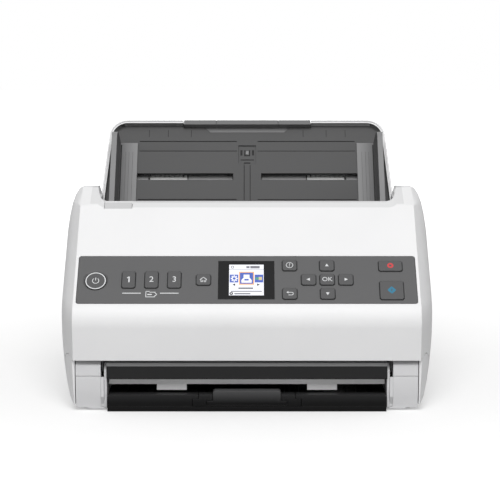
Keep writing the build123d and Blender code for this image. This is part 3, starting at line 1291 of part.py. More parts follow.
# ---------------------------------------------------------------- pieces and export
PIECES = {
    "front_cover": front_cover(),
    "cover_frame": cover_frame(),
    "hinge_arms": hinge_arms(),
    "upper_sensor": scan_unit(1),
    "upper_glass": scan_glass(1),
    "cover_lever": cover_lever(),
    "control_panel": control_panel(),
    "display_window": display_window(),
    "button_power": power_button(),
    "base_pan": base_pan(),
    "feet": feet(),
    "left_side_cover": side_cover(-1),
    "right_side_cover": side_cover(1),
    "rear_cover": rear_cover(),
    "screws": screws(),
    "frame_plates": frame_plates(),
    "lower_paper_guide": lower_paper_guide(),
    "lower_sensor": scan_unit(-1),
    "lower_glass": scan_glass(-1),
    "exit_bar": exit_bar(),
    "exit_strip": exit_strip(),
    "drive_motor": drive_motor(),
    "motor_pinion": motor_pinion(),
    "main_board": main_board(),
    "dc_inlet": dc_inlet(),
    "usb_port": usb_port(),
    "pickup_shaft": pickup_shaft(),
    "pickup_tyres": pickup_tyres(),
    "feed_shaft": feed_shaft(),
    "feed_tyres": feed_tyres(),
    "eject_shaft": eject_shaft(),
    "eject_tyres": eject_tyres(),
    "separation_roller": separation_roller(),
    "feed_idlers": idlers(FEED_IDLER, FEED_IDLER_RADIUS, FEED_TYRE_WIDTH - 4, FRAME_HALF),
    "eject_idlers": idlers(EJECT_IDLER, EJECT_IDLER_RADIUS, EJECT_TYRE_WIDTH - 2, RAIL_X - FIT),
    "eject_idler_gear": loose_gear(EJECT_GEAR_IDLER, IDLER_TEETH, EJECT_IDLER_PHASE, STUD_RADIUS),
    "pickup_idler_gear": loose_gear(PICKUP_GEAR_IDLER, PICKUP_IDLER_TEETH, PICKUP_IDLER_PHASE, STUD_RADIUS),
    "input_tray": input_tray(),
    "tray_frame": tray_frame(),
    "left_edge_guide": edge_guide(-1),
    "right_edge_guide": edge_guide(1),
    "guide_pinion": guide_pinion(),
    "support_extension_outer": support_extension_outer(),
    "support_extension_inner": support_extension_inner(),
    "output_tray": output_tray(),
    "output_extension": output_extension(),
    "output_end_stop": output_end_stop(),
}
for name, x, l, width, length in BUTTONS:
    PIECES[name] = button(x, l, width, length)

# the back edge of the input tray is the furthest back, so it sets the middle of the footprint
DEPTH = PIECES["tray_frame"].bounding_box().max.Y
os.makedirs("parts", exist_ok=True)
for name, piece in PIECES.items():
    export_step(Pos(0, -DEPTH / 2, 0) * piece, f"parts/{name}.step")
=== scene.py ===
import json
from math import cos, radians, sin

import bmesh
import bpy
from mathutils import Matrix, Vector

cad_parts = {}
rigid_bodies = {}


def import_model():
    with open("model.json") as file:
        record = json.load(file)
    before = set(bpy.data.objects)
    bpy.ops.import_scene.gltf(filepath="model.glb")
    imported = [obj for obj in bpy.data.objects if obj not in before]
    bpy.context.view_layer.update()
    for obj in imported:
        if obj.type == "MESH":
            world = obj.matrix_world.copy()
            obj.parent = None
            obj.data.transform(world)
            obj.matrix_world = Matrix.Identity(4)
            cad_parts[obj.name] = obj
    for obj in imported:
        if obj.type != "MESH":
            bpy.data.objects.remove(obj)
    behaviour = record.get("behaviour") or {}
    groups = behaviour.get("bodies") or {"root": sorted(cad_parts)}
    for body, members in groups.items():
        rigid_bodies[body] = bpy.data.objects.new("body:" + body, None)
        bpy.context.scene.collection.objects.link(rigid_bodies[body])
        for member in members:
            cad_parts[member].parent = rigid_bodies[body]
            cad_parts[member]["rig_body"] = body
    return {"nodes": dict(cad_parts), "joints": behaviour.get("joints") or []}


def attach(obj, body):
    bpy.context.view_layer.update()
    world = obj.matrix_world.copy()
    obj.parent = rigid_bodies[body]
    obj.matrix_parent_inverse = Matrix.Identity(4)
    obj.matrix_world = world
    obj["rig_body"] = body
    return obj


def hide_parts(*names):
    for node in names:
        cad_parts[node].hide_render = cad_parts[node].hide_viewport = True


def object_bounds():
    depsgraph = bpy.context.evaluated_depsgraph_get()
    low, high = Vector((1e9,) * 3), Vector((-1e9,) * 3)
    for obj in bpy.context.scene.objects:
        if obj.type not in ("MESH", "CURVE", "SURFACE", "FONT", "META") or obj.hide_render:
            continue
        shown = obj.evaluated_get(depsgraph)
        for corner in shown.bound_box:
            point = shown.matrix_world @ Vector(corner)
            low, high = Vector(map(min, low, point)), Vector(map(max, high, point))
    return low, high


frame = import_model()
cad_low, cad_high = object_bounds()
millimetre = 0.001


# ---------------------------------------------------------------- outer covers
# The side covers, back cover, base pan and the shell of the input tray are injection moulded ABS in
# a warm white with a fine matt texture. Their edges have a small moulding radius, and the curved
# flanks are one smooth surface. The base pan's white is lowered below that of the covers as painted
# shade, for the shade that falls on it low under the cover.
class Value:
    """A shader socket that adds Math nodes through Python's operators."""

    def __init__(self, tree, socket):
        self.tree, self.socket = tree, socket

    def math(self, operation, *values):
        return self.tree.node("ShaderNodeMath", {"operation": operation}, dict(enumerate(values)))

    def __add__(self, other):
        return self.math("ADD", self, other)

    def __sub__(self, other):
        return self.math("SUBTRACT", self, other)

    def __rsub__(self, other):
        return self.math("SUBTRACT", other, self)

    def __mul__(self, other):
        return self.math("MULTIPLY", self, other)

    def __lt__(self, other):
        return self.math("LESS_THAN", self, other)

    def __gt__(self, other):
        return self.math("GREATER_THAN", self, other)

    def size(self):
        return self.math("ABSOLUTE", self)

    def either(self, other):
        return self.math("MAXIMUM", self, other)

    __radd__, __rmul__ = __add__, __mul__


class ShaderTree:
    """The nodes of a material or of the sky."""

    def __init__(self, owner):
        owner.use_nodes = True
        self.nodes, self.links = owner.node_tree.nodes, owner.node_tree.links

    def node(self, kind, settings, inputs, output=0):
        node = self.nodes.new(kind)
        for name, value in settings.items():
            setattr(node, name, value)
        for name, value in inputs.items():
            self.join(value, node.inputs[name])
        return Value(self, node.outputs[output])

    def join(self, value, socket):
        if isinstance(value, Value):
            self.links.new(value.socket, socket)
        else:
            socket.default_value = value


class Finish(ShaderTree):
    """A material, built up node by node round one Principled shader."""

    def __init__(self, name):
        self.material = bpy.data.materials.new(name)
        super().__init__(self.material)
        self.shader = self.nodes["Principled BSDF"]
        self.place = self.node("ShaderNodeTexCoord", {}, {}, "Object")

    def set(self, **inputs):
        for name, value in inputs.items():
            self.join(value, self.shader.inputs[name.replace("_", " ")])

    def noise(self, scale):
        return self.node("ShaderNodeTexNoise", {}, {"Vector": self.place, "Scale": scale})

    def axis(self, letter):
        return self.node("ShaderNodeSeparateXYZ", {}, {"Vector": self.place}, letter)

    def mix(self, factor, one, other):
        first, second, result = 6, 7, 2
        inputs = {"Factor": factor, first: one, second: other}
        return self.node("ShaderNodeMix", {"data_type": "RGBA"}, inputs, result)

    def relief(self, height, distance, rounding):
        """Rounds the edges in the shading and adds a fine relief over them."""
        soft = self.node("ShaderNodeBevel", {"samples": 6}, {"Radius": rounding})
        bumps = {"Height": height, "Distance": distance, "Strength": 1.0, "Normal": soft}
        self.set(Normal=self.node("ShaderNodeBump", {}, bumps))


def shade(colour, factor=1.0):
    return (*(channel * factor for channel in colour), 1.0)


cloud_scale, cloud_depth = 14.0, 0.035
texture_scale, texture_depth = 1800.0, 0.06
texture_relief, edge_radius = 0.03 * millimetre, 0.6 * millimetre


def moulded(name, colour, roughness, grain=texture_relief, rounding=edge_radius, gloss=0.5, fade=None):
    """Moulded plastic: a faint cloudiness in the colour, a fine texture, softly rounded edges. A fade
    gives a second colour and, from the finish, how much of it shows at each place."""
    finish = Finish(name)
    cloud, texture = finish.noise(cloud_scale), finish.noise(texture_scale)
    base = finish.mix(cloud, shade(colour, 1 - cloud_depth), shade(colour, 1 + cloud_depth))
    if fade:
        second_colour, share = fade
        base = finish.mix(share(finish), base, shade(second_colour))
    sheen = texture * (2 * texture_depth) + (roughness - texture_depth)
    finish.set(Base_Color=base, Roughness=sheen, Specular_IOR_Level=gloss)
    finish.relief(texture, grain, rounding)
    return finish


def settle(piece, body):
    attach(piece, body)


same_point, same_plane = 0.002 * millimetre, radians(0.4)
curved_turn, face_weight = 32.0, 90


def dressed(node, finish, turn=curved_turn, adjust=None):
    """A copy of a CAD node, merged into one surface and softened, that stands for the node. Edges that
    turn by more degrees than the given turn stay crisp."""
    source = frame["nodes"][node]
    mesh = source.data.copy()
    mesh.materials.clear()
    mesh.materials.append(finish.material)
    shape = bmesh.new()
    shape.from_mesh(mesh)
    bmesh.ops.remove_doubles(shape, verts=shape.verts, dist=same_point)
    bmesh.ops.dissolve_limit(shape, angle_limit=same_plane, verts=shape.verts, edges=shape.edges)
    for face in shape.faces:
        face.smooth = True
        face.material_index = 0
    if adjust:
        adjust(shape)
    shape.to_mesh(mesh)
    shape.free()
    mesh.set_sharp_from_angle(angle=radians(turn))
    piece = bpy.data.objects.new(f"{node}_finished", mesh)
    bpy.context.scene.collection.objects.link(piece)
    level = piece.modifiers.new("level faces", "WEIGHTED_NORMAL")
    level.keep_sharp, level.weight = True, face_weight
    settle(piece, source["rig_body"])
    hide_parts(node)


shell_white = (0.83, 0.83, 0.835)
cover_white = moulded("white_abs", shell_white, roughness=0.5)
# The base pan's greyer white is painted shade for the shade low under the cover; its plastic is the covers'
# white.
painted_shade_base_white = moulded("base_abs", (0.7, 0.7, 0.71), roughness=0.5)
for node in ("left_side_cover", "right_side_cover", "rear_cover", "tray_frame"):
    dressed(node, cover_white)
dressed("base_pan", painted_shade_base_white)


# ---------------------------------------------------------------- corner webs
# Below the hinge arm, a moulded web closes the slot between each corner block and its rail. It is
# drawn from the side, as y and z counted from the front of the cover and from the table.
def mesh_piece(name, shape, finish, place=Matrix.Identity(4)):
    bmesh.ops.transform(shape, matrix=place, verts=shape.verts)
    mesh = bpy.data.meshes.new(name)
    shape.to_mesh(mesh)
    shape.free()
    mesh.materials.append(finish.material)
    piece = bpy.data.objects.new(name, mesh)
    bpy.context.scene.collection.objects.link(piece)
    return piece


def thicken(shape, faces, shift):
    """Give flat faces a thickness, as the shift of their far side."""
    raised = bmesh.ops.extrude_face_region(shape, geom=faces)
    tops = [item for item in raised["geom"] if isinstance(item, bmesh.types.BMVert)]
    bmesh.ops.translate(shape, verts=tops, vec=shift)
    bmesh.ops.recalc_face_normals(shape, faces=shape.faces)


web_x, web_thickness = 110.95 * millimetre, 2.4 * millimetre
web_outline = [
    (9.2, 3.0), (9.2, 5.2), (5.8, 11.2), (5.8, 26.6), (8.2, 26.6), (8.2, 11.8), (11.6, 5.8), (11.6, 3.0),
]
for name, side in (("left", -1), ("right", 1)):
    shape = bmesh.new()
    corners = [Vector((side * web_x, cad_low.y + y * millimetre, z * millimetre)) for y, z in web_outline]
    web = shape.faces.new([shape.verts.new(corner) for corner in corners])
    thicken(shape, [web], (side * web_thickness, 0, 0))
    settle(mesh_piece(f"{name}_corner_web", shape, painted_shade_base_white), "base")


# ---------------------------------------------------------------- opening lever
# A finger tab of pale grey ABS in a notch of the cover's edge, on a shaft that carries the latch
# hooks. It is moulded in one piece.
lever_grey = moulded("lever_abs", (0.56, 0.56, 0.565), roughness=0.45)
dressed("cover_lever", lever_grey)


# ---------------------------------------------------------------- black inner mouldings
# The paper guides, the cover's frame, the bar over the exit and the sensors' housings are black
# ABS. It is left as it comes from the tool, with a low sheen. The facet along the top of the exit
# bar is a lighter grey, a painted highlight.
ledge_z = 35.2 * millimetre


def painted_ledge_highlight(finish):
    """Where the painted highlight shows: on the facet along the top of the exit bar."""
    return finish.axis("Z") > ledge_z


inner_black = moulded("black_abs", (0.011, 0.011, 0.0116), roughness=0.42, gloss=0.4)
# The lighter grey on the exit bar's top facet is a painted highlight.
ledge_highlight_grey, bar_colour = (0.25, 0.25, 0.252), (0.009, 0.009, 0.0095)
bar_black = moulded("bar_abs", bar_colour, roughness=0.42, gloss=0.3, fade=(ledge_highlight_grey, painted_ledge_highlight))
for node in ("cover_frame", "lower_paper_guide", "upper_sensor", "lower_sensor", "dc_inlet"):
    dressed(node, inner_black)
dressed("exit_bar", bar_black)


# ---------------------------------------------------------------- control panel
# A satin grey plastic plate set into the slope of the front cover, with a moulded hole for each key
# and a shallow dish round the power key.
panel_grey = moulded("panel_plastic", (0.109, 0.109, 0.111), roughness=0.5, gloss=0.25)
dressed("control_panel", panel_grey)


# ---------------------------------------------------------------- front cover
# The same white ABS as the other covers. On the bevel that follows the cut-out in its upper edge,
# where the sheets go in, a slightly darker white is painted shade. The slope gives the directions of
# the panel and its keys.
def axis_of(name):
    return next(Vector(joint["axis"]) for joint in frame["joints"] if joint["name"] == name)


normal = -axis_of("ok_press")
across = Vector((1, 0, 0))
upslope = normal.cross(across)


def reach(node, direction):
    """Lowest and highest place of a CAD node along a direction."""
    places = [vertex.co.dot(direction) for vertex in frame["nodes"][node].data.vertices]
    return min(places), max(places)


def along(finish, direction):
    """How far each place lies in one direction."""
    inputs = {0: finish.place, 1: direction}
    return finish.node("ShaderNodeVectorMath", {"operation": "DOT_PRODUCT"}, inputs, "Value")


bevel_sink, bevel_width = 0.3 * millimetre, 8.4 * millimetre
bevel_level = reach("control_panel", normal)[1] - bevel_sink
bevel_half = reach("cover_frame", across)[1] + bevel_width
panel_top = reach("control_panel", upslope)[1]


def painted_bevel_shade_mask(finish):
    """Where the painted shade shows: on the bevel that follows the cover's cut-out for the paper."""
    sunk = (along(finish, normal) < bevel_level) * (along(finish, upslope) > panel_top)
    return sunk * (finish.axis("X").size() < bevel_half)


# The darker white on the paper bevel is painted shade.
painted_bevel_shade = (0.73, 0.73, 0.735)
dressed("front_cover", moulded("bevelled_abs", shell_white, roughness=0.5, fade=(painted_bevel_shade, painted_bevel_shade_mask)))


# ---------------------------------------------------------------- keys
# Thirteen rectangular keys and a round power key, moulded in the panel's grey with a crisp edge.
# Their signs are a thin white pad print, red on stop and blue on start, drawn in millimetres.
def plane_at(origin, up, out):
    """Plane with x across, y up a slope and z out of it."""
    return Matrix.Translation(origin) @ Matrix((across, up, out)).transposed().to_4x4()


def surface(node):
    """Plane on the middle of a node's top face, on the cover's slope."""
    middle_x = sum(reach(node, across)) / 2
    middle_l = sum(reach(node, upslope)) / 2
    return plane_at(across * middle_x + upslope * middle_l + normal * reach(node, normal)[1], upslope, normal)


def flat(shape, points, height, lift=0.0):
    """Add a figure with the given outline."""
    corners = [shape.verts.new((x * millimetre, y * millimetre, lift * millimetre)) for x, y in points]
    thicken(shape, [shape.faces.new(corners)], (0, 0, height * millimetre))


def bar(shape, x, y, width, length, height, turn=0.0, lift=0.0):
    """Add a rectangular stroke, turned in its plane."""
    half_x, half_y = width / 2, length / 2
    way, side = (cos(radians(turn)), sin(radians(turn))), (-sin(radians(turn)), cos(radians(turn)))
    corners = [(-half_x, -half_y), (half_x, -half_y), (half_x, half_y), (-half_x, half_y)]
    points = [(x + a * way[0] + b * side[0], y + a * way[1] + b * side[1]) for a, b in corners]
    flat(shape, points, height, lift)


full_turn, same_corner = 360.0, 0.001 * millimetre


def ring(shape, x, y, inner, outer, height, start=0.0, end=full_turn, steps=48, lift=0.0):
    """Add a ring, or a stretch of one, in straight steps. The steps are those of a full turn."""
    count = max(4, round(steps * (end - start) / full_turn))
    turns = [radians(start + (end - start) * step / count) for step in range(count + 1)]
    for one, two in zip(turns, turns[1:]):
        places = ((inner, one), (outer, one), (outer, two), (inner, two))
        points = [(radius * cos(turn) + x, radius * sin(turn) + y) for radius, turn in places]
        flat(shape, points, height, lift)
    bmesh.ops.remove_doubles(shape, verts=shape.verts, dist=same_corner)


def text_figure(shape, words, size, height):
    """Add generic lettering as thin raised print."""
    curve = bpy.data.curves.new("lettering", "FONT")
    curve.body, curve.size = words, size * millimetre
    curve.align_x, curve.align_y = "CENTER", "CENTER"
    curve.resolution_u = 3
    holder = bpy.data.objects.new("lettering", curve)
    letters = bpy.data.meshes.new_from_object(holder)
    others = set(shape.faces)
    shape.from_mesh(letters)
    thicken(shape, [face for face in shape.faces if face not in others], (0, 0, height * millimetre))
    bpy.data.objects.remove(holder)
    bpy.data.meshes.remove(letters)
    bpy.data.curves.remove(curve)


ink_scale, ink_wear = 2400.0, 0.07


def print_ink(name, colour):
    ink = Finish(name)
    patchy = ink.noise(ink_scale)
    ink.set(Base_Color=ink.mix(patchy, shade(colour, 1 - ink_wear), shade(colour)))
    ink.set(Roughness=patchy * 0.1 + 0.4)
    return ink


white_ink = print_ink("white_print", (0.72, 0.73, 0.74))
red_ink = print_ink("red_print", (0.56, 0.035, 0.04))
blue_ink = print_ink("blue_print", (0.004, 0.17, 0.29))
print_height, stroke = 0.05, 0.5


def strokes(shape, figures):
    """Add printed strokes, each as x, y, width and length, with a turn in degrees if it has one."""
    for x, y, width, length, *turn in figures:
        bar(shape, x, y, width, length, print_height, *turn)


def home_sign(shape):
    roof = [(side * 1.35, 1.0, 3.7, stroke, -side * 42) for side in (-1, 1)]
    walls = [(side * 1.9, -1.1, stroke, 2.4) for side in (-1, 1)]
    floors = [(side * 1.3, -2.2, 1.2, stroke) for side in (-1, 1)]
    door = [(side * 0.6, -1.5, 0.45, 1.7) for side in (-1, 1)]
    strokes(shape, roof + walls + floors + door)


def one_sign(shape):
    stem, flag = (0.35, 0, 0.95, 5.4), [(-0.1, 2.7), (-1.4, 1.75), (-1.05, 1.05), (-0.1, 1.7)]
    strokes(shape, [stem])
    flat(shape, flag, print_height)


def help_sign(shape):
    inner, outer, mark_size = 2.35, 2.8, 4.6
    ring(shape, 0, 0, inner, outer, print_height)
    text_figure(shape, "?", mark_size, print_height)


def back_sign(shape):
    upper, lower = (0.1, 1.0, 2.8, stroke), (0.3, -1.5, 2.6, stroke)
    bend_x, bend_y, bend_inner = 1.5, -0.25, 1.0
    point = [(-2.6, 1.0), (-1.0, -0.1), (-1.0, 2.1)]
    strokes(shape, [upper, lower])
    ring(shape, bend_x, bend_y, bend_inner, bend_inner + stroke, print_height, start=-90, end=90, steps=32)
    flat(shape, point, print_height)


def pointer_sign(turn):
    def draw(shape):
        angles, radius = [radians(turn + angle) for angle in (0, 125, 235)], 1.7
        flat(shape, [(radius * cos(angle), radius * sin(angle)) for angle in angles], print_height)
    return draw


def letter_sign(words, size):
    def draw(shape):
        text_figure(shape, words, size, print_height)
    return draw


def power_sign(shape):
    rim_inner, rim_outer = 7.15, 7.95
    sign_inner, sign_outer, stem = 2.2, 2.75, (0, 1.7, 0.55, 2.8)
    ring(shape, 0, 0, rim_inner, rim_outer, print_height)
    ring(shape, 0, 0, sign_inner, sign_outer, print_height, start=125, end=415)
    strokes(shape, [stem])


def stop_sign(shape):
    middle_y, inner, outer = 0.3, 0.9, 2.5
    ring(shape, 0, middle_y, inner, outer, print_height)


def start_sign(shape):
    half_diamond = [
        (0.05, 3.5), (0.05, 1.2), (0.35, 1.0), (0.35, -1.0),
        (0.05, -1.2), (0.05, -3.5), (3.1, -0.5), (3.1, 0.5),
    ]
    for side in (-1, 1):
        flat(shape, [(side * x, y) for x, y in half_diamond], print_height)


key_grey = moulded(
    "key_plastic", (0.087, 0.087, 0.089), roughness=0.48, rounding=0.4 * millimetre, gloss=0.25,
)
key_turn, numeral_size, word_size = 25.0, 7.4, 5.6
signs = {
    "power": (power_sign, white_ink),
    "one": (one_sign, white_ink),
    "two": (letter_sign("2", numeral_size), white_ink),
    "three": (letter_sign("3", numeral_size), white_ink),
    "home": (home_sign, white_ink),
    "help": (help_sign, white_ink),
    "back": (back_sign, white_ink),
    "up": (pointer_sign(90), white_ink),
    "left": (pointer_sign(180), white_ink),
    "ok": (letter_sign("OK", word_size), white_ink),
    "right": (pointer_sign(0), white_ink),
    "down": (pointer_sign(270), white_ink),
    "stop": (stop_sign, red_ink),
    "start": (start_sign, blue_ink),
}
for key, (draw, ink) in signs.items():
    dressed(f"button_{key}", key_grey, turn=key_turn)
    shape = bmesh.new()
    draw(shape)
    sign = mesh_piece(f"{key}_sign", shape, ink, surface(f"button_{key}"))
    settle(sign, f"key_{key}")


# ---------------------------------------------------------------- printed group mark
# Two lines and a folder sign, pad printed on the panel below the three numbered keys. It is drawn
# from the middle of key two.
line = 0.55
group_lines = [(x, -12.5, 14.4, 0.75) for x in (-15.0, 14.2)]
folder = [(-0.6, -16.0, 7.2, line), (-3.9, -13.4, line, 5.0)]
folder += [(-2.6, -10.8, 3.0, line), (1.2, -11.6, 4.6, line)]
folder_point = [(3.6, -12.6, 3.0, line, -45), (3.6, -14.6, 3.0, line, 45)]
folder_bar = (-1.0, -13.7, 3.4, 1.0)
shape = bmesh.new()
strokes(shape, [*group_lines, *folder, *folder_point, folder_bar])
key_two = surface("control_panel").inverted() @ surface("button_two").translation
group_place = surface("control_panel") @ Matrix.Translation((key_two.x, key_two.y, 0))
settle(mesh_piece("group_mark", shape, white_ink, group_place), "cover")


# ---------------------------------------------------------------- display
# A gloss black window with a lit colour screen behind it, which shows a plain menu of three tiles.
# The picture is laid on the window in thin films, drawn in millimetres from its middle.
window_black = moulded(
    "window_gloss", (0.01, 0.01, 0.0105), roughness=0.16, grain=0.0, rounding=0.4 * millimetre, gloss=0.2,
)
dressed("display_window", window_black)


def glow(name, colour, strength):
    lit = Finish(name)
    shimmer_scale, shimmer_depth, unlit = 600.0, 0.03, 0.2
    shimmer = lit.noise(shimmer_scale)
    light = lit.mix(shimmer, shade(colour, 1 - shimmer_depth), shade(colour))
    lit.set(Base_Color=shade(colour, unlit), Roughness=shimmer * 0.05 + 0.2)
    lit.set(Emission_Color=light, Emission_Strength=strength)
    return lit


screen_white = glow("screen_white", (0.93, 0.94, 1.0), strength=0.95)
screen_blue = glow("screen_blue", (0.07, 0.13, 0.5), strength=0.9)
screen_orange = glow("screen_orange", (0.95, 0.5, 0.24), strength=0.9)
screen_grey = glow("screen_grey", (0.2, 0.2, 0.23), strength=0.9)
screen_black = glow("screen_black", (0.02, 0.02, 0.02), strength=0.5)
screen_green = glow("screen_green", (0.1, 0.4, 0.25), strength=0.8)
screen_sand = glow("screen_sand", (0.75, 0.62, 0.35), strength=0.8)
film, film_step = 0.02, 0.03


def disc(x, y, inner, outer):
    return lambda shape, lift: ring(shape, x, y, inner, outer, film, steps=24, lift=lift)


def outline(*points):
    return lambda shape, lift: flat(shape, points, film, lift)


gear_x, gear_y, gear_tooth = -9.4, 1.3, 0.9
gear = [disc(gear_x, gear_y, 1.2, 2.1)] + [
    (gear_x + 2.3 * cos(radians(turn)), gear_y + 2.9 * sin(radians(turn)), gear_tooth, gear_tooth)
    for turn in range(0, 360, 45)
]
page, tile_frame = (0.1, 0, 27.0, 29.4), (0.2, 1.6, 12.0, 12.6)
rules = [(0.1, 10.2, 27.0, 0.35), (0.1, -10.9, 24.0, 0.9)]
word_bars = [(1.3, 12.3, 2.6, 2.0), (6.8, 12.3, 7.4, 2.4), (-0.4, -8.0, 11.5, 1.5), (-3.0, -13.2, 12.5, 1.2)]
tiles = [(0.2, 1.6, 10.3, 10.6), (-9.6, 1.3, 6.6, 7.6), (9.9, 1.3, 6.6, 7.6)]
scanner_sign = [(0.2, -1.4, 8.0, 2.6), (0.2, 3.2, 4.6, 3.6)]
scanner_sign += [outline((-3.8, -0.2), (4.2, -0.2), (2.9, 1.6), (-2.5, 1.6))]
left_pointer = outline((-10.8, -4.6), (-8.6, -3.4), (-8.6, -5.8))
right_pointer = outline((10.6, -4.6), (8.4, -5.8), (8.4, -3.4))
picture = [
    ("screen_page", screen_white, 0, [page]),
    ("screen_rules", screen_grey, 1, [*rules, *word_bars, disc(-10.8, 12.3, 0.7, 1.3)]),
    ("screen_frame", screen_orange, 1, [tile_frame]),
    ("screen_tiles", screen_blue, 2, tiles),
    ("screen_tile_signs", screen_white, 3, [*scanner_sign, *gear]),
    ("screen_tile_middle", screen_blue, 4, [(0.2, 0.1, 3.4, 1.6)]),
    ("screen_left_pad", screen_green, 3, [(8.5, 1.3, 2.6, 2.0)]),
    ("screen_right_pad", screen_sand, 3, [(10.9, 1.3, 2.6, 3.0)]),
    ("screen_pointers", screen_black, 2, [left_pointer, right_pointer, disc(-11.6, -13.0, 0.5, 1.4)]),
]
for name, finish, layer, figures in picture:
    shape, lift = bmesh.new(), film + film_step * layer
    for figure in figures:
        if callable(figure):
            figure(shape, lift)
        else:
            bar(shape, *figure, film, lift=lift)
    settle(mesh_piece(name, shape, finish, surface("display_window")), "cover")


# ---------------------------------------------------------------- input tray
# The paper surface is a dark grey moulding with a white upper edge. Two edge guides in a lighter grey
# slide on it, joined by racks and a pinion below, and two supports slide out of its top edge. On the
# tray's plane x runs across, l up the slope, and heights are counted from the paper's surface.
tray_up = axis_of("support_outer_slide")
tray_normal = across.cross(tray_up)
lip_over_paper, liner_top = 5.2 * millimetre, 48.3 * millimetre
tray_origin = tray_up * (reach("input_tray", tray_up)[1] - liner_top)
tray_origin += tray_normal * (reach("input_tray", tray_normal)[1] - lip_over_paper)
tray_plane = plane_at(tray_origin, tray_up, tray_normal)
lip_depth = 0.3 * millimetre
# The faint white on the liner's end wall is painted light against the shade on that wall.
end_wall_l, end_wall_foot, painted_end_wall_light_share = 46.6 * millimetre, 0.4 * millimetre, 0.24
guide_wall_foot, guide_wall_half = 1.6 * millimetre, 110.45 * millimetre


def over_tray(finish, direction):
    """Distance from the tray's origin in one direction."""
    return along(finish, direction) - tray_origin.dot(direction)


def tray_lip_and_painted_light(finish):
    """Shows on the liner's upper edge, all round, in the shell's white, and faintly on the wall at its top
    end as painted light that lifts that shaded wall.
    """
    over = over_tray(finish, tray_normal)
    lip = over > lip_over_paper - lip_depth
    end_wall = (over > end_wall_foot) * (over_tray(finish, tray_up) > end_wall_l)
    return lip + end_wall * (1 - lip) * painted_end_wall_light_share


def painted_inner_wall_shade(finish):
    """Where the painted shade shows: on the drafted inner face of each edge guide, where the sheets run."""
    return (over_tray(finish, tray_normal) > guide_wall_foot) * (finish.axis("X").size() < guide_wall_half)


# The darker grey on the guides' inner wall faces is painted shade.
guide_colour, painted_wall_shade = (0.235, 0.235, 0.238), (0.07, 0.07, 0.071)
tray_grey = moulded(
    "tray_plastic", (0.08, 0.08, 0.081), roughness=0.55, gloss=0.25, fade=(shell_white, tray_lip_and_painted_light),
)
guide_grey = moulded("guide_plastic", guide_colour, roughness=0.5, gloss=0.3)
wall_grey = moulded(
    "guide_wall_plastic", guide_colour, roughness=0.5, gloss=0.3, fade=(painted_wall_shade, painted_inner_wall_shade),
)
support_grey = moulded("support_plastic", (0.15, 0.15, 0.152), roughness=0.5, gloss=0.3)
recess_grey = moulded("recess_plastic", (0.2, 0.2, 0.202), roughness=0.55, gloss=0.25)
shadow_line = moulded("shadow_line", (0.018, 0.018, 0.018), roughness=0.6, gloss=0.2)
# The rack's and the slot inserts' light greys are raised as painted light against the shade in the slots.
rack_grey = moulded("rack_plastic", (0.8, 0.8, 0.79), roughness=0.45, gloss=0.3)
slot_painted_light_grey = moulded("slot_plastic", (0.42, 0.42, 0.422), roughness=0.55, gloss=0.25)
dressed("input_tray", tray_grey)
for node in ("left_edge_guide", "right_edge_guide"):
    dressed(node, wall_grey)
for node in ("support_extension_outer", "support_extension_inner"):
    dressed(node, support_grey)


def tray_bars(name, finish, body, bars, lift, height):
    """Straight figures on the tray's plane, each as x, l, width and length in millimetres."""
    shape = bmesh.new()
    for x, l, width, length in bars:
        bar(shape, x, l, width, length, height, lift=lift)
    settle(mesh_piece(name, shape, finish, tray_plane), body)


def both_sides(bars):
    return [(side * x, l, width, length) for x, l, width, length in bars for side in (-1, 1)]


# Moulded lines: grooves across the paper surface, marks for the sheet sizes, the middle channel's
# edges and the slots of the latch, each a thin dark sheet. On the floors of the grooves, the
# channel's edges and the latch's slots that dark sheet is a painted shadow.
line_height, mark_height, slot_height = 0.06, 0.03, 0.08
groove_floor, channel_floor, recess_floor = -0.5, -0.8, -1.2
grooves = [(51.0, l, 84.0, 0.5) for l in (31.4, 21.8, -26.4)]
size_lines = [(x, 39.5, 0.4, 7.0) for x in (48.5, 68.5, 85.0)]
channel_edge = (2.55, -22.0, 0.5, 60.0)
latch_sides = [(5.0, 20.6, 1.7, 5.2), (2.0, 20.6, 1.0, 5.2)]
latch_steps = [(0, 17.7, 5.0, 0.9), (0, 13.4, 11.5, 0.9), (0, 10.3, 5.4, 1.2)]
latch = both_sides(latch_sides) + latch_steps
edges = both_sides([channel_edge])
tray_bars("tray_grooves", shadow_line, "base", both_sides(grooves), groove_floor, line_height)
tray_bars("size_marks", shadow_line, "base", both_sides(size_lines), 0.0, mark_height)
tray_bars("channel_edges", shadow_line, "base", edges, channel_floor, line_height)
tray_bars("latch_slots", shadow_line, "base", latch, recess_floor, slot_height)
hook, hook_height = (0, 20.4, 2.6, 3.4), 0.3
tray_bars("latch_hook", guide_grey, "base", [hook], recess_floor, hook_height)
finger_outline = [(-36.4, 45.6), (-31.8, 41.0), (31.8, 41.0), (36.4, 45.6)]
shape = bmesh.new()
flat(shape, finger_outline, slot_height, recess_floor)
settle(mesh_piece("finger_recess", shape, recess_grey, tray_plane), "base")

# Plain inserts deep in the guides' slots: a bed, a pale rack with its teeth, and an end block. The
# bed and end block are raised well above their own grey, and the pale rack to a bright white, as
# painted light against the shade deep in the slots.
insert_floor, insert_height = -7.6, 0.7
bed, rack, end_block = (31.5, -0.9, 38.0, 4.6), (67.5, -1.9, 32.0, 2.6), (91.0, -0.9, 12.0, 4.6)
teeth = [(53.0 + 4.0 * number, 0.5, 2.6, 2.4) for number in range(8)]
inserts = [
    ("slot_bed", slot_painted_light_grey, [bed]),
    ("slot_rack", rack_grey, [rack, *teeth]),
    ("slot_end", slot_painted_light_grey, [end_block]),
]
for name, finish, bars in inserts:
    tray_bars(name, finish, "base", both_sides(bars), insert_floor, insert_height)

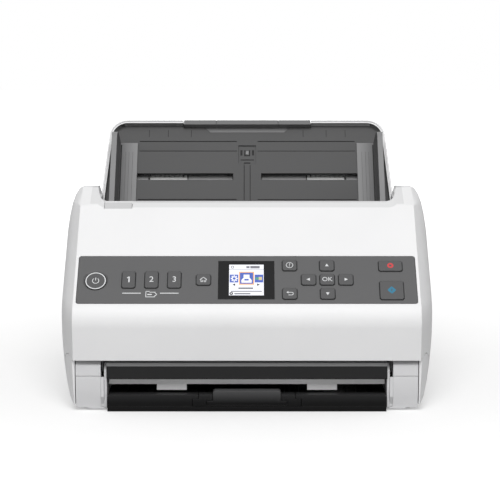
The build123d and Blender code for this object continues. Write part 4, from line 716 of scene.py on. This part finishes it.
# Fine lines on each guide's wing, a painted shadow line at the foot of its wall, and the seals beside
# the grip of the outer support.
wing_face, wing_line_height, foot_shadow_height = 1.5, 0.04, 0.05
for name, side in (("left", -1), ("right", 1)):
    lines = [(side * x, -12.0, 0.35, 64.0) for x in (98.6, 101.8, 104.6)]
    # This dark bar is a painted shadow line at the foot of the guide's wall.
    foot_shadow = (side * 108.5, -11.0, 0.9, 76.0)
    guide = f"{name}_guide"
    tray_bars(f"{name}_wing_lines", support_grey, guide, lines, wing_face, wing_line_height)
    tray_bars(f"{name}_wing_foot_shadow", shadow_line, guide, [foot_shadow], wing_face, foot_shadow_height)
seal, seal_foot, seal_height = (26.8, 47.7, 0.3, 4.4), -8.0, 13.1
seals = both_sides([seal])
tray_bars("grip_seals", support_grey, "support_outer", seals, seal_foot, seal_height)


# ---------------------------------------------------------------- output tray
# Three telescoping stages in black ABS with a painted highlight on their raised front edges, which
# grows lighter upward, and a low apron under the front of the first one.
fade_foot, fade_rise = 7.0 * millimetre, 10.5 * millimetre


def painted_lip_highlight(finish):
    """The painted highlight, which grows up the front edges where they catch the light."""
    return (finish.axis("Z") - fade_foot) * (1 / fade_rise)


lip_back, lip_root = cad_low.y + 12.6 * millimetre, 11.4 * millimetre


def lowered_lip(share):
    """Draws the raised front edge down to this share, with the ribs in view behind it."""
    def adjust(shape):
        for vertex in shape.verts:
            if vertex.co.y < lip_back and vertex.co.z > lip_root:
                vertex.co.z = lip_root + (vertex.co.z - lip_root) * share
    return adjust


# The lighter edge colours of the stages and the stop are painted highlights.
stage_colour, stage_edge_highlight, stop_edge_highlight = (0.004, 0.004, 0.0042), (0.03, 0.03, 0.031), (0.085, 0.085, 0.087)
output_black = moulded(
    "output_plastic", stage_colour, roughness=0.42, gloss=0.14, fade=(stage_edge_highlight, painted_lip_highlight),
)
stop_black = moulded("stop_plastic", stage_colour, roughness=0.42, gloss=0.14, fade=(stop_edge_highlight, painted_lip_highlight))
crisp_turn, stage_lip, stop_lip = 3.0, lowered_lip(0.4), lowered_lip(0.68)
dressed("output_tray", output_black, turn=crisp_turn, adjust=stage_lip)
dressed("output_extension", output_black, turn=crisp_turn, adjust=stage_lip)
dressed("output_end_stop", stop_black, turn=crisp_turn, adjust=stop_lip)
apron_width, apron_depth, apron_height = 216.4 * millimetre, 2.9 * millimetre, 3.7 * millimetre
apron_front, apron_foot = cad_low.y + 3.3 * millimetre, 0.3 * millimetre
apron_middle = Vector((0, apron_front + apron_depth / 2, apron_foot + apron_height / 2))
apron_place = Matrix.LocRotScale(apron_middle, None, Vector((apron_width, apron_depth, apron_height)))
shape = bmesh.new()
bmesh.ops.create_cube(shape, size=1.0, matrix=apron_place)
settle(mesh_piece("output_apron", shape, output_black), "out_tray")


# ---------------------------------------------------------------- exit strip
# A grey strip with two tabs under the exit bar, which presses the sheets on to the tray. Its grey is
# raised as painted light against the shade under the cover, and a painted highlight makes it lighter
# toward its middle.
strip_fall = 11.0


def painted_middle_highlight(finish):
    """The painted highlight, which falls away from the middle of the machine."""
    return 1.0 - finish.axis("X").size() * strip_fall


# The strip's grey is raised as painted light against shade, and its lighter middle is a painted highlight.
strip_colour, strip_highlight_colour = (0.78, 0.78, 0.782), (0.93, 0.93, 0.935)
strip_grey = moulded(
    "strip_plastic", strip_colour, roughness=0.45, gloss=0.3, fade=(strip_highlight_colour, painted_middle_highlight),
)
dressed("exit_strip", strip_grey)


# ---------------------------------------------------------------- rollers and gears
# Natural acetal shafts with moulded gears, and rubber tyres and feet with a fine knurl.
acetal = moulded("acetal", (0.62, 0.61, 0.57), roughness=0.38)
tyre_rubber = moulded("tyre_rubber", (0.035, 0.035, 0.037), roughness=0.7, grain=0.08 * millimetre)
for node in (
    "feed_shaft", "eject_shaft", "pickup_shaft", "feed_idlers", "eject_idlers", "motor_pinion",
    "eject_idler_gear", "pickup_idler_gear", "guide_pinion",
):
    dressed(node, acetal)
for node in ("feed_tyres", "eject_tyres", "pickup_tyres", "separation_roller", "feet"):
    dressed(node, tyre_rubber)


# ---------------------------------------------------------------- steel pieces
# Zinc plated side plates and screws, the plain can of the motor and the shell of the data port. The
# hinge arms are blackened steel.
def plated_steel():
    steel = Finish("plated_steel")
    spangle_scale, scratch_scale = 90.0, 900.0
    spangle, scratch = steel.noise(spangle_scale), steel.noise(scratch_scale)
    steel.set(Base_Color=steel.mix(spangle, shade((0.42, 0.42, 0.41)), shade((0.62, 0.62, 0.6))))
    steel.set(Metallic=1.0, Roughness=scratch * 0.18 + 0.26)
    steel.relief(scratch, 0.01 * millimetre, 0.3 * millimetre)
    return steel


steel = plated_steel()
for node in ("frame_plates", "screws", "drive_motor", "usb_port"):
    dressed(node, steel)
blackened_steel = moulded("blackened_steel", (0.02, 0.02, 0.021), roughness=0.35)
dressed("hinge_arms", blackened_steel)


# ---------------------------------------------------------------- scanning glass and board
# Clear glass over each sensor bar, and a green circuit board behind the side plates.
def clear_glass():
    glass = Finish("scan_glass")
    smear_scale = 40.0
    smear = glass.noise(smear_scale)
    glass.set(Base_Color=glass.mix(smear, shade((0.75, 0.82, 0.8)), shade((0.8, 0.86, 0.84))))
    glass.set(Roughness=smear * 0.04 + 0.03, Alpha=0.35)
    return glass


glass = clear_glass()
for node in ("upper_glass", "lower_glass"):
    dressed(node, glass)
board_green = moulded("solder_mask", (0.012, 0.085, 0.035), roughness=0.3)
dressed("main_board", board_green)


# ---------------------------------------------------------------- studio
# A plain pale floor that the camera sees as white wherever no shadow lies on it, a soft even sky and
# one large lamp high in front. The camera has a long lens.
plain_white = (1, 1, 1, 1)


def floor_finish():
    pale = Finish("floor")
    drift_scale, near_light, light_growth = 0.6, 0.3, 0.6
    drift = pale.noise(drift_scale)
    pale.set(Base_Color=pale.mix(drift, shade((0.6, 0.6, 0.6)), shade((0.62, 0.62, 0.62))), Roughness=0.9)
    seen = pale.node("ShaderNodeLightPath", {}, {}, "Is Camera Ray")
    distance = pale.node("ShaderNodeVectorMath", {"operation": "LENGTH"}, {0: pale.place}, "Value")
    strength = seen * (distance * light_growth + near_light)
    lit = pale.node("ShaderNodeEmission", {}, {"Color": plain_white, "Strength": strength})
    both = pale.node("ShaderNodeAddShader", {}, {0: Value(pale, pale.shader.outputs[0]), 1: lit})
    pale.join(both, pale.nodes["Material Output"].inputs["Surface"])
    return pale


floor_half = 9.0
shape = bmesh.new()
bmesh.ops.create_grid(shape, x_segments=2, y_segments=2, size=floor_half)
mesh_piece("floor", shape, floor_finish())

world = bpy.data.worlds.new("sky")
bpy.context.scene.world = world
sky = ShaderTree(world)
camera_ray, glossy_ray, transmission_ray = (
    sky.node("ShaderNodeLightPath", {}, {}, f"Is {kind} Ray") for kind in ("Camera", "Glossy", "Transmission")
)
sky_strength = 0.32
background = sky.nodes["Background"]
sky.join(plain_white, background.inputs["Color"])
sky.join(sky_strength, background.inputs["Strength"])
soft_sky = Value(sky, background.outputs[0])
backdrop = sky.node("ShaderNodeBackground", {}, {"Color": plain_white})
shown = camera_ray.either(glossy_ray.either(transmission_ray))
choice = sky.node("ShaderNodeMixShader", {}, {0: shown, 1: soft_sky, 2: backdrop})
sky.join(choice, sky.nodes["World Output"].inputs["Surface"])

light = bpy.data.lights.new("soft_lamp", "AREA")
light.shape, light.size, light.energy = "DISK", 1.4, 30.5
lamp = bpy.data.objects.new("soft_lamp", light)
bpy.context.scene.collection.objects.link(lamp)
lamp.location, lamp_aim = (0.0, -1.3, 1.65), Vector((0, 0, 0.1))
lamp.rotation_euler = (lamp_aim - lamp.location).to_track_quat("-Z", "Y").to_euler()

camera_distance, camera_height, camera_fall = 1.2299, 0.28115, 7.15
camera = bpy.data.objects.new("camera", bpy.data.cameras.new("camera"))
bpy.context.scene.collection.objects.link(camera)
bpy.context.scene.camera = camera
camera.data.lens, camera.data.sensor_width = 116.83, 36.0
camera.data.clip_end = 30.0
camera.location = (0.0024, cad_low.y - camera_distance, camera_height)
camera.rotation_euler = (radians(90 - camera_fall), 0, 0)
bpy.context.scene.view_settings.view_transform = "Standard"
